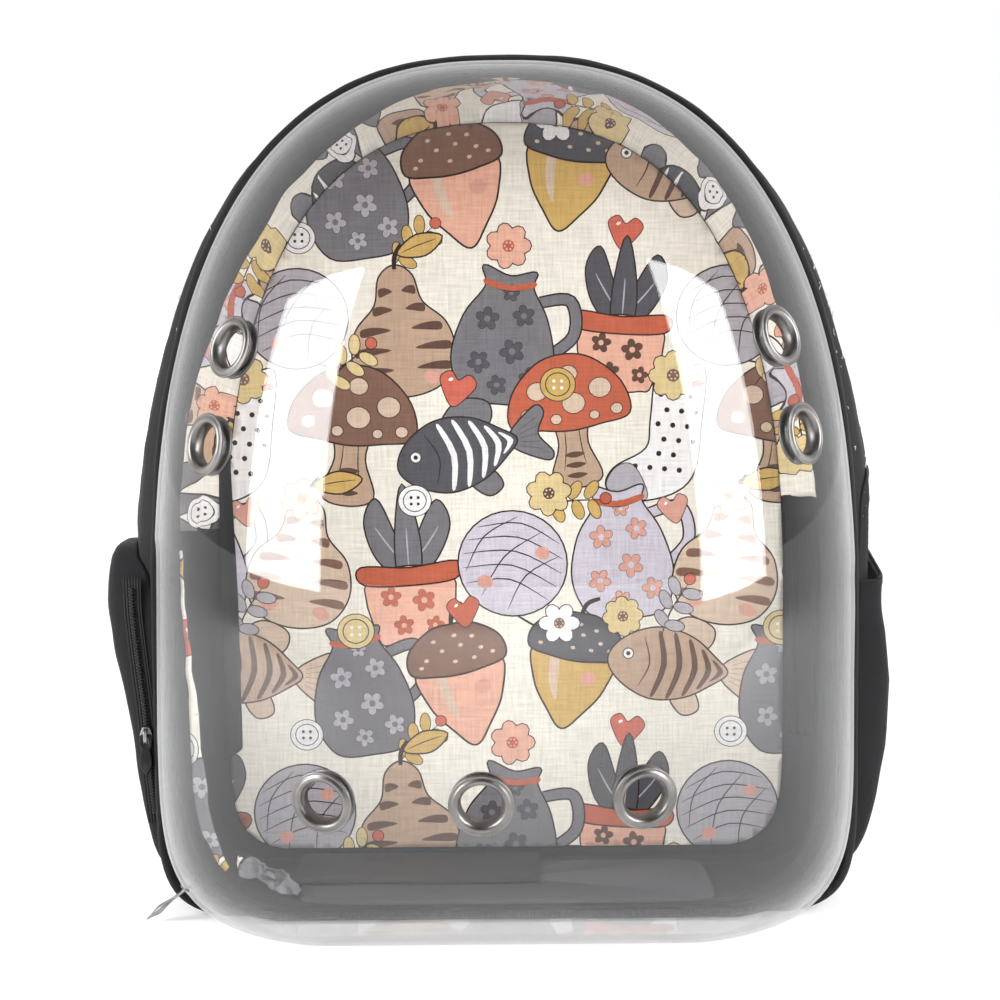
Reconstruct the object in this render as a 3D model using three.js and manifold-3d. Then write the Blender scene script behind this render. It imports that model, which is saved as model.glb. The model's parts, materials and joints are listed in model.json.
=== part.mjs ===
// Bubble pet carrier backpack: a clear domed shell, zipped to a soft black tray with a printed
// lining, side pockets, a padded back and two shoulder straps.
// Millimetres, +Z up, dome towards -Y, shoulder straps towards +Y, +X to the right seen from the dome.

import * as THREE from 'three';
import { mergeVertices } from 'three/addons/utils/BufferGeometryUtils.js';
import Module from 'manifold-3d';

const wasm = await Module();
wasm.setup();

// Driving dimensions

const clearance = 0.4;            // between pieces that touch on the real bag

const rimHalfWidth = 169;         // dome rim at its widest level
const rimHeight = 420;            // top of the dome rim above the ground
const waistHeight = 140;          // level where the rim is widest
const rimFoot = 1.5;              // dome rim above the ground at the bottom
const archPower = 2.52;           // superellipse power of the arch above the waist
const cornerPower = 5.7;          // superellipse power of the corners below the waist
const footOvershoot = 1.02;       // the corner curve runs on past the flat foot and is cut there

const domeDepth = 150;            // rim plane to the nose of the dome
const domeWall = 1.5;
const domeSidePower = 2.2;        // how boxy the dome is, seen from above
const domeFootPower = 2.5;        // the same along its underside
const noseArchPower = 2.15;       // the section rounds off to these powers at the nose
const noseCornerPower = 2.3;

const tapeWidth = 12;             // zip tape round the rim
const tapeThickness = 1.2;
const coilWidth = 5;
const coilHeight = 2;
const pipingRadius = 2.6;
const pipingStand = 4.2;          // piping centre outside the rim outline
const pipingTopStand = 3.2;       // the same over the arch
const pipingFlat = 2;             // thickness of the piping where the bag stands on it

const trayDepth = 112;            // rim plane to the flat back of the tray
const trayWall = 4;
const trayCornerPower = 9;        // the soft tray's lower corners are squarer than the dome's
const traySwell = 15;             // how far the soft sides stand outside the rim outline
const widestAlong = 0.36;         // share of the tray's length where its sides swell most
const topSwellShare = 0.42;       // the arch swells less than the sides
const backTuck = 14;              // how far the back's edge is drawn in
const backFootRise = 6;           // how far the back's lower edge is drawn up

const liningThickness = 1.2;
const sideLiningLeftFoot = 196;   // level where the printed side lining ends
const sideLiningRightFoot = 211;
const matThickness = 3;
const matHalfWidth = 106;

const ventOuterRadius = 15;       // metal ring vents
const ventInnerRadius = 9.4;
const ventTubeRadius = 10.5;
const ventBead = 2.2;             // height of the rolled outer bead
const ventFlange = 1.2;
const ventFlangeRadius = 13.6;
const ventSeat = 1.3;             // room for the dome's curvature under the inner flange
const ventHoleLength = 24;

const windowWidth = 58;           // mesh window in the right side wall
const windowFoot = 66;
const windowTop = 218;
const windowCornerPower = 7;
const windowSteps = 20;
const meshThickness = 1;
const meshSink = 1.3;             // middle of the mesh inside the outer face of the wall

const pocketWall = 1.8;
const pocketSeam = 0.9;           // room between a pocket's hem and the bulging tray wall
const pocketFront = 21;           // front and back edges of the pockets behind the rim plane
const pocketBack = 91;
const pocketFoot = 20;
const pocketTop = 186;
const zipPocketDepth = 14;        // left pocket, closed by a zip on its front face
const openPocketDepth = 12;       // right pocket, open at its slanted mouth
const mouthBackHeight = 182;
const mouthFrontHeight = 164;
const pocketZipShare = 0.5;       // zip line across the pocket's front face
const pocketZipFoot = 52;
const pocketZipTop = 166;
const pocketSliderHeight = 92;
const pocketCornerPower = 4;
const pocketSteps = 32;

const sliderLength = 9;
const sliderWidth = 7;
const sliderHeight = 3;
const bridgeInner = 2.6;          // free height under the slider's bridge
const bridgeSpan = 5;
const bridgeBar = 1.1;
const bridgeWidth = 2;
const pullLength = 26;
const pullWidth = 6.4;
const pullThickness = 1.2;
const pullBar = 1.5;              // cross bar of the pull's eye
const pullEyeLength = 3.8;
const pullEyeWidth = 3;
const pocketPullLength = 20;
const mainSliderHeight = 20;      // level of the main slider on the left corner
const mainPullRest = 218;         // degrees from +X towards +Z of the resting main pull

const padThickness = 10;          // padded back panel
const padInset = 26;
const padFoot = 74;
const padTopGap = 20;             // the pad ends this far above the tops of the straps
const padChannelWidth = 16;
const padChannelDepth = 5;

const strapWidth = 62;
const strapThickness = 9;
const strapTopHeight = 338;
const strapTopSpread = 52;        // strap centre line beside the middle, at its top
const strapStand = 44;            // how far the strap stands off the back
const strapEndHeight = 132;
const strapEndSpread = 96;
const webbingWidth = 25;
const webbingThickness = 1.6;
const webbingFootHeight = 34;
const webbingFootSpread = 112;
const adjusterHeight = 20;
const adjusterDrop = 4.1;         // below the strap's slanted end
const adjusterWidth = 33;
const adjusterThickness = 5;
const adjusterSlot = 3.6;
const anchorHeight = 24;
const anchorThickness = 3;

const handleHalfSpan = 34;
const handleHeight = 384;
const handleStand = 34;
const handleWidth = 24;
const handleThickness = 3;

const outlineSteps = 52;
const domeSteps = 9;

// Worked out from the dimensions

const coilStart = (tapeWidth - coilWidth) / 2;
const trayFront = tapeWidth + clearance;
const trayLength = trayDepth - trayFront;
const pipingDepth = trayFront + pipingRadius + clearance;
const windowCentre = (pocketFront + pocketBack) / 2;
const backFace = trayDepth + clearance;
const padFace = backFace + padThickness;

// Small helpers

const lerp = THREE.MathUtils.lerp;
const clamp = THREE.MathUtils.clamp;
const radians = THREE.MathUtils.degToRad;

function power(value, exponent) {
  return Math.sign(value) * Math.abs(value) ** exponent;
}

function distance(a, b) {
  return Math.hypot(...a.map((value, axis) => value - b[axis]));
}

// Points at equal steps along a polyline, both ends included.
function resample(points, steps) {
  const reach = [0];
  for (let i = 1; i < points.length; i += 1) {
    reach.push(reach[i - 1] + distance(points[i], points[i - 1]));
  }
  const total = reach[reach.length - 1];
  const result = [];
  let at = 0;
  for (let step = 0; step <= steps; step += 1) {
    const target = (total * step) / steps;
    while (at < points.length - 2 && reach[at + 1] < target) at += 1;
    const share = clamp((target - reach[at]) / (reach[at + 1] - reach[at] || 1), 0, 1);
    result.push(points[at].map((value, axis) => lerp(value, points[at + 1][axis], share)));
  }
  return result;
}

// Value of one column of a table at a place between its rows.
function column(table, key, place, value) {
  let row = 0;
  while (row < table.length - 2 && table[row + 1][key] < place) row += 1;
  const low = table[row];
  const high = table[row + 1];
  const share = clamp((place - low[key]) / (high[key] - low[key]), 0, 1);
  return lerp(low[value], high[value], share);
}

// The bag's outline

// Half width at a level, before any swell of the sides.
function halfWidthAt(shape, height) {
  const { side, top, foot, waist = waistHeight, arch = archPower } = shape;
  const { corner = cornerPower, overshoot = footOvershoot } = shape;
  const up = height > waist;
  const reach = up ? top - waist : (waist - foot) * overshoot;
  const exponent = up ? arch : corner;
  const share = clamp(Math.abs(height - waist) / reach, 0, 1);
  return side * (1 - share ** exponent) ** (1 / exponent);
}

// Share of the swell at a level, given as a share of the rim's height: the sides swell most at the
// pocket tops and least near the ground.
const swellTable = [
  { up: 0, share: 0.5 },
  { up: 0.15, share: 0.68 },
  { up: 0.3, share: 0.92 },
  { up: 0.4, share: 1.2 },
  { up: 0.47, share: 1.3 },
  { up: 0.56, share: 1.25 },
  { up: 0.7, share: 1.04 },
  { up: 1, share: 1 },
];

function swellShare(height) {
  return column(swellTable, 'up', height / rimHeight, 'share');
}

// Half width of the outline at a level, with the swell of the sides.
function sideAt(shape, height) {
  const swell = (shape.swell ?? 0) * swellShare(height);
  return halfWidthAt(shape, height) * (1 + swell / shape.side);
}

// Closed outline as [x, z], from the bottom centre round the +X side.
function outline(shape, steps = outlineSteps) {
  const { side, top, foot, waist = waistHeight, arch = archPower } = shape;
  const { corner = cornerPower, overshoot = footOvershoot } = shape;
  const fine = 160;
  const right = [];
  for (let i = fine; i > 0; i -= 1) {
    const angle = (Math.PI / 2) * (i / fine);
    const drop = (waist - foot) * overshoot * Math.sin(angle) ** (2 / corner);
    right.push([side * power(Math.cos(angle), 2 / corner), Math.max(waist - drop, foot)]);
  }
  for (let i = 0; i <= fine; i += 1) {
    const angle = (Math.PI / 2) * (i / fine);
    const rise = (top - waist) * Math.sin(angle) ** (2 / arch);
    right.push([side * power(Math.cos(angle), 2 / arch), waist + rise]);
  }
  const swell = shape.swell ?? 0;
  const swollen = right.map(([x, z]) => [x * (1 + (swell * swellShare(z)) / side), z]);
  swollen[0][0] = 0;
  const half = resample(swollen, steps / 2);
  const left = half.slice(1, -1).reverse().map(([x, z]) => [-x, z]);
  return [...half, ...left];
}

// The same outline as points of space at one depth.
function outlineAt(depth, shape, steps = outlineSteps) {
  return outline(shape, steps).map(([x, z]) => [x, depth, z]);
}

// Solids from loops of points

function capTriangles(loop) {
  const normal = new THREE.Vector3();
  loop.forEach((a, i) => {
    const b = loop[(i + 1) % loop.length];
    normal.x += (a[1] - b[1]) * (a[2] + b[2]);
    normal.y += (a[2] - b[2]) * (a[0] + b[0]);
    normal.z += (a[0] - b[0]) * (a[1] + b[1]);
  });
  normal.normalize();
  const first = new THREE.Vector3(Math.abs(normal.x) < 0.9 ? 1 : 0, Math.abs(normal.x) < 0.9 ? 0 : 1, 0);
  const across = first.cross(normal).normalize();
  const along = normal.clone().cross(across);
  const flat = loop.map((point) => {
    const place = new THREE.Vector3(...point);
    return new THREE.Vector2(place.dot(across), place.dot(along));
  });
  return THREE.ShapeUtils.triangulateShape(flat, []).map(([a, b, c]) => {
    const turn = (flat[b].x - flat[a].x) * (flat[c].y - flat[a].y)
      - (flat[b].y - flat[a].y) * (flat[c].x - flat[a].x);
    return turn > 0 ? [a, b, c] : [a, c, b];
  });
}

// A closed solid through loops of equal length, capped at both ends or joined end to end.
function loft(loops, joined = false) {
  const size = loops[0].length;
  const points = loops.flat();
  const triangles = [];
  const spans = joined ? loops.length : loops.length - 1;
  for (let k = 0; k < spans; k += 1) {
    const here = k * size;
    const next = ((k + 1) % loops.length) * size;
    for (let i = 0; i < size; i += 1) {
      const j = (i + 1) % size;
      triangles.push([here + i, here + j, next + j], [here + i, next + j, next + i]);
    }
  }
  if (!joined) {
    const last = (loops.length - 1) * size;
    capTriangles(loops[0]).forEach(([a, b, c]) => triangles.push([a, c, b]));
    capTriangles(loops[loops.length - 1]).forEach(([a, b, c]) => {
      triangles.push([last + a, last + b, last + c]);
    });
  }
  return solid(points, triangles);
}

// Indexed geometry with its faces pointing out.
function solid(points, triangles) {
  const volume = triangles.reduce((sum, [a, b, c]) => {
    const [p, q, r] = [points[a], points[b], points[c]].map((point) => new THREE.Vector3(...point));
    return sum + p.dot(q.cross(r));
  }, 0);
  const faces = volume > 0 ? triangles : triangles.map(([a, b, c]) => [a, c, b]);
  const geometry = new THREE.BufferGeometry();
  geometry.setAttribute('position', new THREE.Float32BufferAttribute(points.flat(), 3));
  geometry.setIndex(faces.flat());
  return geometry;
}

// The rim outline moved out by a distance, with its foot at its own level.
function rimShape(out) {
  return { side: rimHalfWidth + out, top: rimHeight + out, foot: rimFoot * (1 - out / coilHeight) };
}

// Turns the whole outline into a ring; each point of its cross-section has a depth and a shape.
function ring(section) {
  return loft(section.map(({ depth, shape }) => outlineAt(depth, shape)), true);
}

// Booleans

function welded(geometry) {
  const bare = geometry.clone();
  bare.deleteAttribute('normal');
  bare.deleteAttribute('uv');
  return mergeVertices(bare, 1e-3);
}

function toManifold(geometry) {
  const closed = welded(geometry);
  const vertProperties = new Float32Array(closed.attributes.position.array);
  const triVerts = new Uint32Array(closed.index.array);
  return new wasm.Manifold(new wasm.Mesh({ numProp: 3, vertProperties, triVerts }));
}

function fromManifold(body) {
  const mesh = body.getMesh();
  const geometry = new THREE.BufferGeometry();
  geometry.setAttribute('position', new THREE.BufferAttribute(mesh.vertProperties, 3));
  geometry.setIndex(new THREE.BufferAttribute(mesh.triVerts, 1));
  return geometry;
}

function cut(geometry, cutters) {
  const body = cutters.reduce((rest, cutter) => rest.subtract(toManifold(cutter)), toManifold(geometry));
  return fromManifold(body);
}

function join(first, second) {
  return fromManifold(toManifold(first).add(toManifold(second)));
}

// Materials

function material(color, roughness, metalness = 0) {
  return new THREE.MeshStandardMaterial({ color, roughness, metalness });
}

const clearPlastic = new THREE.MeshStandardMaterial({
  color: 0xe6eaec, roughness: 0.05, metalness: 0, transparent: true, opacity: 0.35,
});
const metalRing = () => material(0x8d8a88, 0.28, 0.9);
const zipMetal = () => material(0x77787a, 0.35, 0.85);
const blackCloth = () => material(0x18181b, 0.85);
const blackTape = () => material(0x0f0f11, 0.8);
const printCloth = () => material(0xd8c9b4, 0.8);
const greyMat = () => material(0x3a3a3f, 0.85);
const netting = () => material(0x1d1d20, 0.7);
const blackPlastic = () => material(0x121214, 0.45);

const group = new THREE.Group();
const bag = new THREE.Group();
// The origin is the middle of the tray's flat foot.
bag.position.y = -(trayFront + trayDepth) / 2;
group.add(bag);

function place(name, geometry, finish) {
  const mesh = new THREE.Mesh(geometry, finish);
  mesh.name = name;
  bag.add(mesh);
  return mesh;
}

// Dome

// Outline of the dome at a share of its depth; inset makes the inner face.
function domeShape(share, inset) {
  const across = (1 - share ** domeSidePower) ** (1 / domeSidePower);
  const down = (1 - share ** domeFootPower) ** (1 / domeFootPower);
  const blend = share ** 1.5;
  return {
    side: (rimHalfWidth - inset) * across,
    top: waistHeight + (rimHeight - inset - waistHeight) * across,
    foot: waistHeight - (waistHeight - rimFoot - inset) * down,
    arch: lerp(archPower, noseArchPower, blend),
    corner: lerp(cornerPower, noseCornerPower, blend),
    overshoot: lerp(footOvershoot, 1, blend),
  };
}

function domeLoops(inset) {
  const loops = [];
  const lastAngle = radians(86);
  for (let i = 0; i <= domeSteps; i += 1) {
    const share = Math.sin((lastAngle * i) / domeSteps) ** (2 / domeSidePower);
    loops.push(outlineAt(-share * (domeDepth - inset), domeShape(share, inset)));
  }
  return loops;
}

// Share of the depth at which the dome's outer face stands over a point of the front view.
function domeShareAt(x, z) {
  let low = 0;
  let high = 1;
  for (let i = 0; i < 40; i += 1) {
    const middle = (low + high) / 2;
    const inside = Math.abs(x) < halfWidthAt(domeShape(middle, 0), z);
    if (inside) low = middle;
    else high = middle;
  }
  return low;
}

function domePoint(x, z) {
  return new THREE.Vector3(x, -domeShareAt(x, z) * domeDepth, z);
}

function domeNormal(x, z) {
  const step = 2;
  const across = domePoint(x + step, z).sub(domePoint(x - step, z));
  const up = domePoint(x, z + step).sub(domePoint(x, z - step));
  return across.cross(up).normalize();
}

// Vent places in the front view, as shares of the rim's half width and height.
const ventPlaces = [
  { name: 'vent_front_left', across: -0.466, up: 0.221 },
  { name: 'vent_front_middle', across: -0.063, up: 0.2235 },
  { name: 'vent_front_right', across: 0.347, up: 0.2265 },
  { name: 'vent_side_left_upper', across: -0.708, up: 0.682 },
  { name: 'vent_side_left_lower', across: -0.776, up: 0.58 },
  { name: 'vent_side_right_upper', across: 0.724, up: 0.689 },
  { name: 'vent_side_right_lower', across: 0.786, up: 0.586 },
];

// Position and turn of a vent: its axis runs along the dome's normal.
function ventFrame({ across, up }) {
  const x = across * rimHalfWidth;
  const z = up * rimHeight;
  const turn = new THREE.Quaternion().setFromUnitVectors(new THREE.Vector3(0, 1, 0), domeNormal(x, z));
  return { position: domePoint(x, z), turn };
}

function ventHole(vent) {
  const { position, turn } = ventFrame(vent);
  const hole = new THREE.CylinderGeometry(ventTubeRadius + 2 * clearance, ventTubeRadius + 2 * clearance, ventHoleLength, 12);
  hole.applyQuaternion(turn);
  hole.translate(position.x, position.y, position.z);
  return hole;
}

// Rolled metal ring: a round bead outside, a tube through the wall and a flat flange inside.
function ventRing() {
  const under = -domeWall - ventSeat;
  const profile = [
    [ventInnerRadius, under - ventFlange],
    [ventFlangeRadius, under - ventFlange],
    [ventFlangeRadius, under],
    [ventTubeRadius, under],
    [ventTubeRadius, clearance / 2],
    [ventOuterRadius, clearance / 2],
    [ventOuterRadius - 0.7, ventBead * 0.75],
    [(ventOuterRadius + ventInnerRadius) / 2, ventBead],
    [ventInnerRadius + 0.5, ventBead * 0.6],
    [ventInnerRadius, under - ventFlange],
  ];
  return new THREE.LatheGeometry(profile.map(([r, y]) => new THREE.Vector2(r, y)), 12);
}

const domeShell = loft([...domeLoops(0).reverse(), ...domeLoops(domeWall)]);
place('bubble_shell', cut(domeShell, ventPlaces.map(ventHole)), clearPlastic);

ventPlaces.forEach((vent) => {
  const { position, turn } = ventFrame(vent);
  const mesh = place(vent.name, ventRing(), metalRing());
  mesh.position.copy(position);
  mesh.quaternion.copy(turn);
});

// Zip round the rim

place('main_zip_tape', ring([
  { depth: clearance, shape: rimShape(-tapeThickness) },
  { depth: clearance, shape: rimShape(0) },
  { depth: tapeWidth, shape: rimShape(0) },
  { depth: tapeWidth, shape: rimShape(-tapeThickness) },
]), blackTape());

place('main_zip_coil', ring([
  { depth: coilStart, shape: rimShape(clearance) },
  { depth: coilStart + coilWidth * 0.2, shape: rimShape(coilHeight) },
  { depth: coilStart + coilWidth * 0.8, shape: rimShape(coilHeight) },
  { depth: coilStart + coilWidth, shape: rimShape(clearance) },
]), blackTape());

// The piping runs round the tray's front edge and is pressed flat where the bag stands on it.
function pipingSection() {
  const sides = 6;
  const points = [];
  for (let i = 0; i < sides; i += 1) {
    const angle = (2 * Math.PI * (i + 0.5)) / sides;
    const away = pipingRadius * Math.cos(angle);
    const shape = {
      side: rimHalfWidth + pipingStand + away,
      top: rimHeight + pipingTopStand + away,
      foot: pipingFlat * (0.5 - Math.cos(angle) / 2),
      corner: trayCornerPower,
    };
    points.push({ depth: pipingDepth - pipingRadius * Math.sin(angle), shape });
  }
  return points;
}

// Tray

// Sections of the tray from its front edge to its back: shares of the tray's length, of its swell,
// of the tuck at the back and of the room left under its front edge for the piping.
const trayTable = [
  { along: 0, swell: 0, tuck: 0, lift: 1 },
  { along: 0.065, swell: 0.02, tuck: 0, lift: 1 },
  { along: 0.1, swell: 0.3, tuck: 0, lift: 0 },
  { along: 0.17, swell: 0.78, tuck: 0, lift: 0 },
  { along: widestAlong, swell: 1, tuck: 0, lift: 0 },
  { along: 0.62, swell: 0.9, tuck: 0, lift: 0 },
  { along: 0.84, swell: 0.3, tuck: 0.04, lift: 0 },
  { along: 0.95, swell: 0, tuck: 0.35, lift: 0 },
  { along: 1, swell: 0, tuck: 1, lift: 0 },
];

function trayShape(along, inset) {
  const swell = column(trayTable, 'along', along, 'swell') * traySwell;
  const tuck = column(trayTable, 'along', along, 'tuck');
  const lift = column(trayTable, 'along', along, 'lift') * (pipingFlat + clearance);
  return {
    side: rimHalfWidth - tuck * backTuck - inset,
    top: rimHeight + swell * topSwellShare - tuck * backTuck - inset,
    foot: tuck * backFootRise + Math.max(lift, inset),
    corner: trayCornerPower,
    swell,
  };
}

function trayLoops(inset) {
  return trayTable.map(({ along }) => {
    const depth = trayFront + along * (trayLength - inset);
    return outlineAt(depth, trayShape(along, inset));
  });
}

// X of the tray's outer face at a depth and a level.
function trayFace(depth, height) {
  return sideAt(trayShape((depth - trayFront) / trayLength, 0), height);
}

// Rounded rectangle in the side view, as [depth, height] points.
function sideOutline({ front, back, foot, top }, cornerShape, spread, steps) {
  const points = [];
  for (let i = 0; i < steps; i += 1) {
    const angle = (2 * Math.PI * (i + 0.5)) / steps;
    const along = power(Math.cos(angle), 2 / cornerShape) * spread;
    const up = power(Math.sin(angle), 2 / cornerShape) * spread;
    points.push([
      (front + back) / 2 + (along * (back - front)) / 2,
      (foot + top) / 2 + (up * (top - foot)) / 2,
    ]);
  }
  return points;
}

const windowEdges = {
  front: windowCentre - windowWidth / 2,
  back: windowCentre + windowWidth / 2,
  foot: windowFoot,
  top: windowTop,
};

// A plug through the side wall, from well inside to well outside.
function windowPlug() {
  const edges = sideOutline(windowEdges, windowCornerPower, 1, windowSteps);
  const inner = edges.map(([y, z]) => [rimHalfWidth - backTuck - trayWall - 10, y, z]);
  const outer = edges.map(([y, z]) => [rimHalfWidth + 2 * traySwell + 10, y, z]);
  return loft([inner, outer]);
}

function windowMesh() {
  const { front, back, foot, top } = windowEdges;
  const gap = 2 * clearance;
  const edges = sideOutline(
    { front: front + gap, back: back - gap, foot: foot + gap, top: top - gap },
    windowCornerPower, 1, windowSteps,
  );
  const middle = edges.map(([y, z]) => [trayFace(y, z) - meshSink, y, z]);
  const layers = [-meshThickness / 2, meshThickness / 2].map((shift) => {
    const rings = [1, 0.66, 0.33].map((share) => middle.map(([, y, z]) => {
      const depth = lerp(windowCentre, y, share);
      const height = lerp((foot + top) / 2, z, share);
      return [trayFace(depth, height) - meshSink + shift, depth, height];
    }));
    return rings;
  });
  return loft([...layers[0].slice().reverse(), ...layers[1]]);
}

const trayShell = loft([...trayLoops(0).reverse(), ...trayLoops(trayWall)]);
place('rear_tray', cut(trayShell, [windowPlug()]), blackCloth());
place('side_window_mesh', windowMesh(), netting());
place('front_piping', ring(pipingSection()), blackTape());

// Printed lining and floor mat

const liningGap = clearance;
const backLiningFace = trayDepth - trayWall - liningGap;

place('back_lining', loft([0, liningThickness].map((shift) => (
  outlineAt(backLiningFace - shift, trayShape(1, trayWall + liningGap))
))), printCloth());

// Outline points well above the feet of the side lining, counted on the tray's widest section.
const footMargin = 7;
const widestOutline = outline(trayShape(widestAlong, trayWall));
const archFirst = widestOutline.findIndex(([x, z]) => x > 0 && z > sideLiningRightFoot + footMargin);
const archLast = widestOutline.findLastIndex(([, z]) => z > sideLiningLeftFoot + footMargin);

function atLevel(a, b, level) {
  return [lerp(a[0], b[0], (level - a[1]) / (b[1] - a[1])), level];
}

// Part of the outline from the lining's right foot over the arch to its left foot.
function archPart(shape) {
  const closed = outline(shape);
  return [
    atLevel(closed[archFirst - 1], closed[archFirst], sideLiningRightFoot),
    ...closed.slice(archFirst, archLast + 1),
    atLevel(closed[archLast + 1], closed[archLast], sideLiningLeftFoot),
  ];
}

// Printed cloth over the arch and the upper side walls, as thin as the lining.
function sideLining() {
  const stations = [0.2, widestAlong, 0.62, 0.8];
  const faces = [liningGap, liningGap + liningThickness].map((gap) => stations.map((along) => {
    const depth = trayFront + along * (trayLength - trayWall);
    return archPart(trayShape(along, trayWall + gap)).map(([x, z]) => [x, depth, z]);
  }));
  return loft(faces[0][0].map((_, i) => [
    ...faces[0].map((line) => line[i]),
    ...faces[1].map((line) => line[i]).reverse(),
  ]));
}

place('side_lining', sideLining(), printCloth());

const matFront = trayFront + 2;
const matBack = trayFront + 0.82 * (trayLength - trayWall);
const matShape = new THREE.Shape();
const matCorner = 14;
matShape.moveTo(-matHalfWidth + matCorner, matFront);
matShape.lineTo(matHalfWidth - matCorner, matFront);
matShape.quadraticCurveTo(matHalfWidth, matFront, matHalfWidth, matFront + matCorner);
matShape.lineTo(matHalfWidth, matBack - matCorner);
matShape.quadraticCurveTo(matHalfWidth, matBack, matHalfWidth - matCorner, matBack);
matShape.lineTo(-matHalfWidth + matCorner, matBack);
matShape.quadraticCurveTo(-matHalfWidth, matBack, -matHalfWidth, matBack - matCorner);
matShape.lineTo(-matHalfWidth, matFront + matCorner);
matShape.quadraticCurveTo(-matHalfWidth, matFront, -matHalfWidth + matCorner, matFront);
const matGeometry = new THREE.ExtrudeGeometry(matShape, {
  depth: matThickness, bevelEnabled: false, curveSegments: 5,
});
matGeometry.translate(0, 0, trayWall + clearance);
place('floor_mat', matGeometry, greyMat());

// Side pockets

const pocketEdges = { front: pocketFront, back: pocketBack, foot: pocketFoot, top: pocketTop };

// Bowl sections from the rim on the tray wall to the crown: shares of the half size and the depth.
const pocketTable = [
  { spread: 1, depth: 0 },
  { spread: 1, depth: 0.66 },
  { spread: 0.95, depth: 0.88 },
  { spread: 0.8, depth: 0.97 },
  { spread: 0.4, depth: 1 },
];

// Share of the pocket depths at a level, from the pocket's foot to its top. The left pocket is
// full at the top, the right one hangs slack and is full half way up.
const pocketLean = [
  { up: 0, left: 0.05, right: 0.1 },
  { up: 0.15, left: 0.25, right: 0.55 },
  { up: 0.28, left: 0.43, right: 0.8 },
  { up: 0.4, left: 0.5, right: 0.95 },
  { up: 0.52, left: 0.62, right: 1 },
  { up: 0.64, left: 0.85, right: 0.97 },
  { up: 0.8, left: 1, right: 0.75 },
  { up: 1, left: 0.85, right: 0.45 },
];

// How far the front or back face of a pocket reaches outside the tray wall at a depth and level.
function pocketReach(side, fullDepth, depth, height) {
  const up = (height - pocketFoot) / (pocketTop - pocketFoot);
  const widest = sideAt(trayShape(widestAlong, 0), height);
  return widest - trayFace(depth, height) + fullDepth * column(pocketLean, 'up', up, side);
}

function pocket(side, sign, fullDepth) {
  const skins = [0, pocketWall].map((inset) => pocketTable.map((row) => {
    const spread = row.spread - (inset * 2) / (pocketBack - pocketFront);
    return sideOutline(pocketEdges, pocketCornerPower, spread, pocketSteps).map(([y, z]) => {
      const reach = row.depth * pocketReach(side, fullDepth, y, z);
      const bulge = Math.max(reach - inset * Math.sign(row.depth), 0);
      return [sign * (trayFace(y, z) + pocketSeam + bulge), y, z];
    });
  }));
  return loft([...skins[0].slice().reverse(), ...skins[1]]);
}

place('left_zip_pocket', pocket('left', -1, zipPocketDepth), blackCloth());

const cutterMargin = 20;
const cutterEdge = 5;

// Everything above the slanted mouth of the right pocket.
function mouthCutter() {
  const inner = rimHalfWidth - cutterMargin;
  const outer = rimHalfWidth + traySwell + 2 * openPocketDepth + cutterMargin;
  const front = pocketFront - cutterEdge;
  const back = pocketBack + cutterEdge;
  const above = pocketTop + cutterMargin;
  const slope = [
    [front, mouthFrontHeight],
    [back, mouthBackHeight],
    [back, above],
    [front, above],
  ];
  return loft([inner, outer].map((x) => slope.map(([y, z]) => [x, y, z])));
}

place('right_open_pocket', cut(pocket('right', 1, openPocketDepth), [mouthCutter()]), blackCloth());

// Zip along the front face of the left pocket.
const pocketZipDepth = pocketFront - clearance;
const pocketCoilThickness = 1.4;

function pocketZipLine(height) {
  const reach = pocketReach('left', zipPocketDepth, pocketFront, height);
  return -(trayFace(pocketFront, height) + pocketZipShare * reach);
}

function pocketZipCoil() {
  const steps = 10;
  const loops = [];
  for (let i = 0; i <= steps; i += 1) {
    const z = lerp(pocketZipFoot, pocketZipTop, i / steps);
    const x = pocketZipLine(z);
    loops.push([
      [x - coilWidth / 2, pocketZipDepth, z],
      [x - coilWidth / 3, pocketZipDepth - pocketCoilThickness, z],
      [x + coilWidth / 3, pocketZipDepth - pocketCoilThickness, z],
      [x + coilWidth / 2, pocketZipDepth, z],
    ]);
  }
  return loft(loops);
}

place('left_pocket_zip', pocketZipCoil(), blackTape());

// Zip sliders and pulls. In their own frame the zip runs along X, the pull's hinge along Y, and Z
// points away from the cloth.

function box(width, depth, height, x, y, z) {
  const geometry = new THREE.BoxGeometry(width, depth, height);
  geometry.translate(x, y, z);
  return geometry;
}

function slider() {
  const body = box(sliderLength, sliderWidth, sliderHeight, 0, 0, sliderHeight / 2);
  const rise = bridgeInner + bridgeBar;
  const reach = bridgeSpan + 2 * bridgeBar;
  const block = box(reach, bridgeWidth, rise + 0.5, 0, 0, sliderHeight + (rise - 0.5) / 2);
  const hole = box(bridgeSpan, bridgeWidth + 2, bridgeInner, 0, 0, sliderHeight + bridgeInner / 2);
  return join(body, cut(block, [hole]));
}

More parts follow.
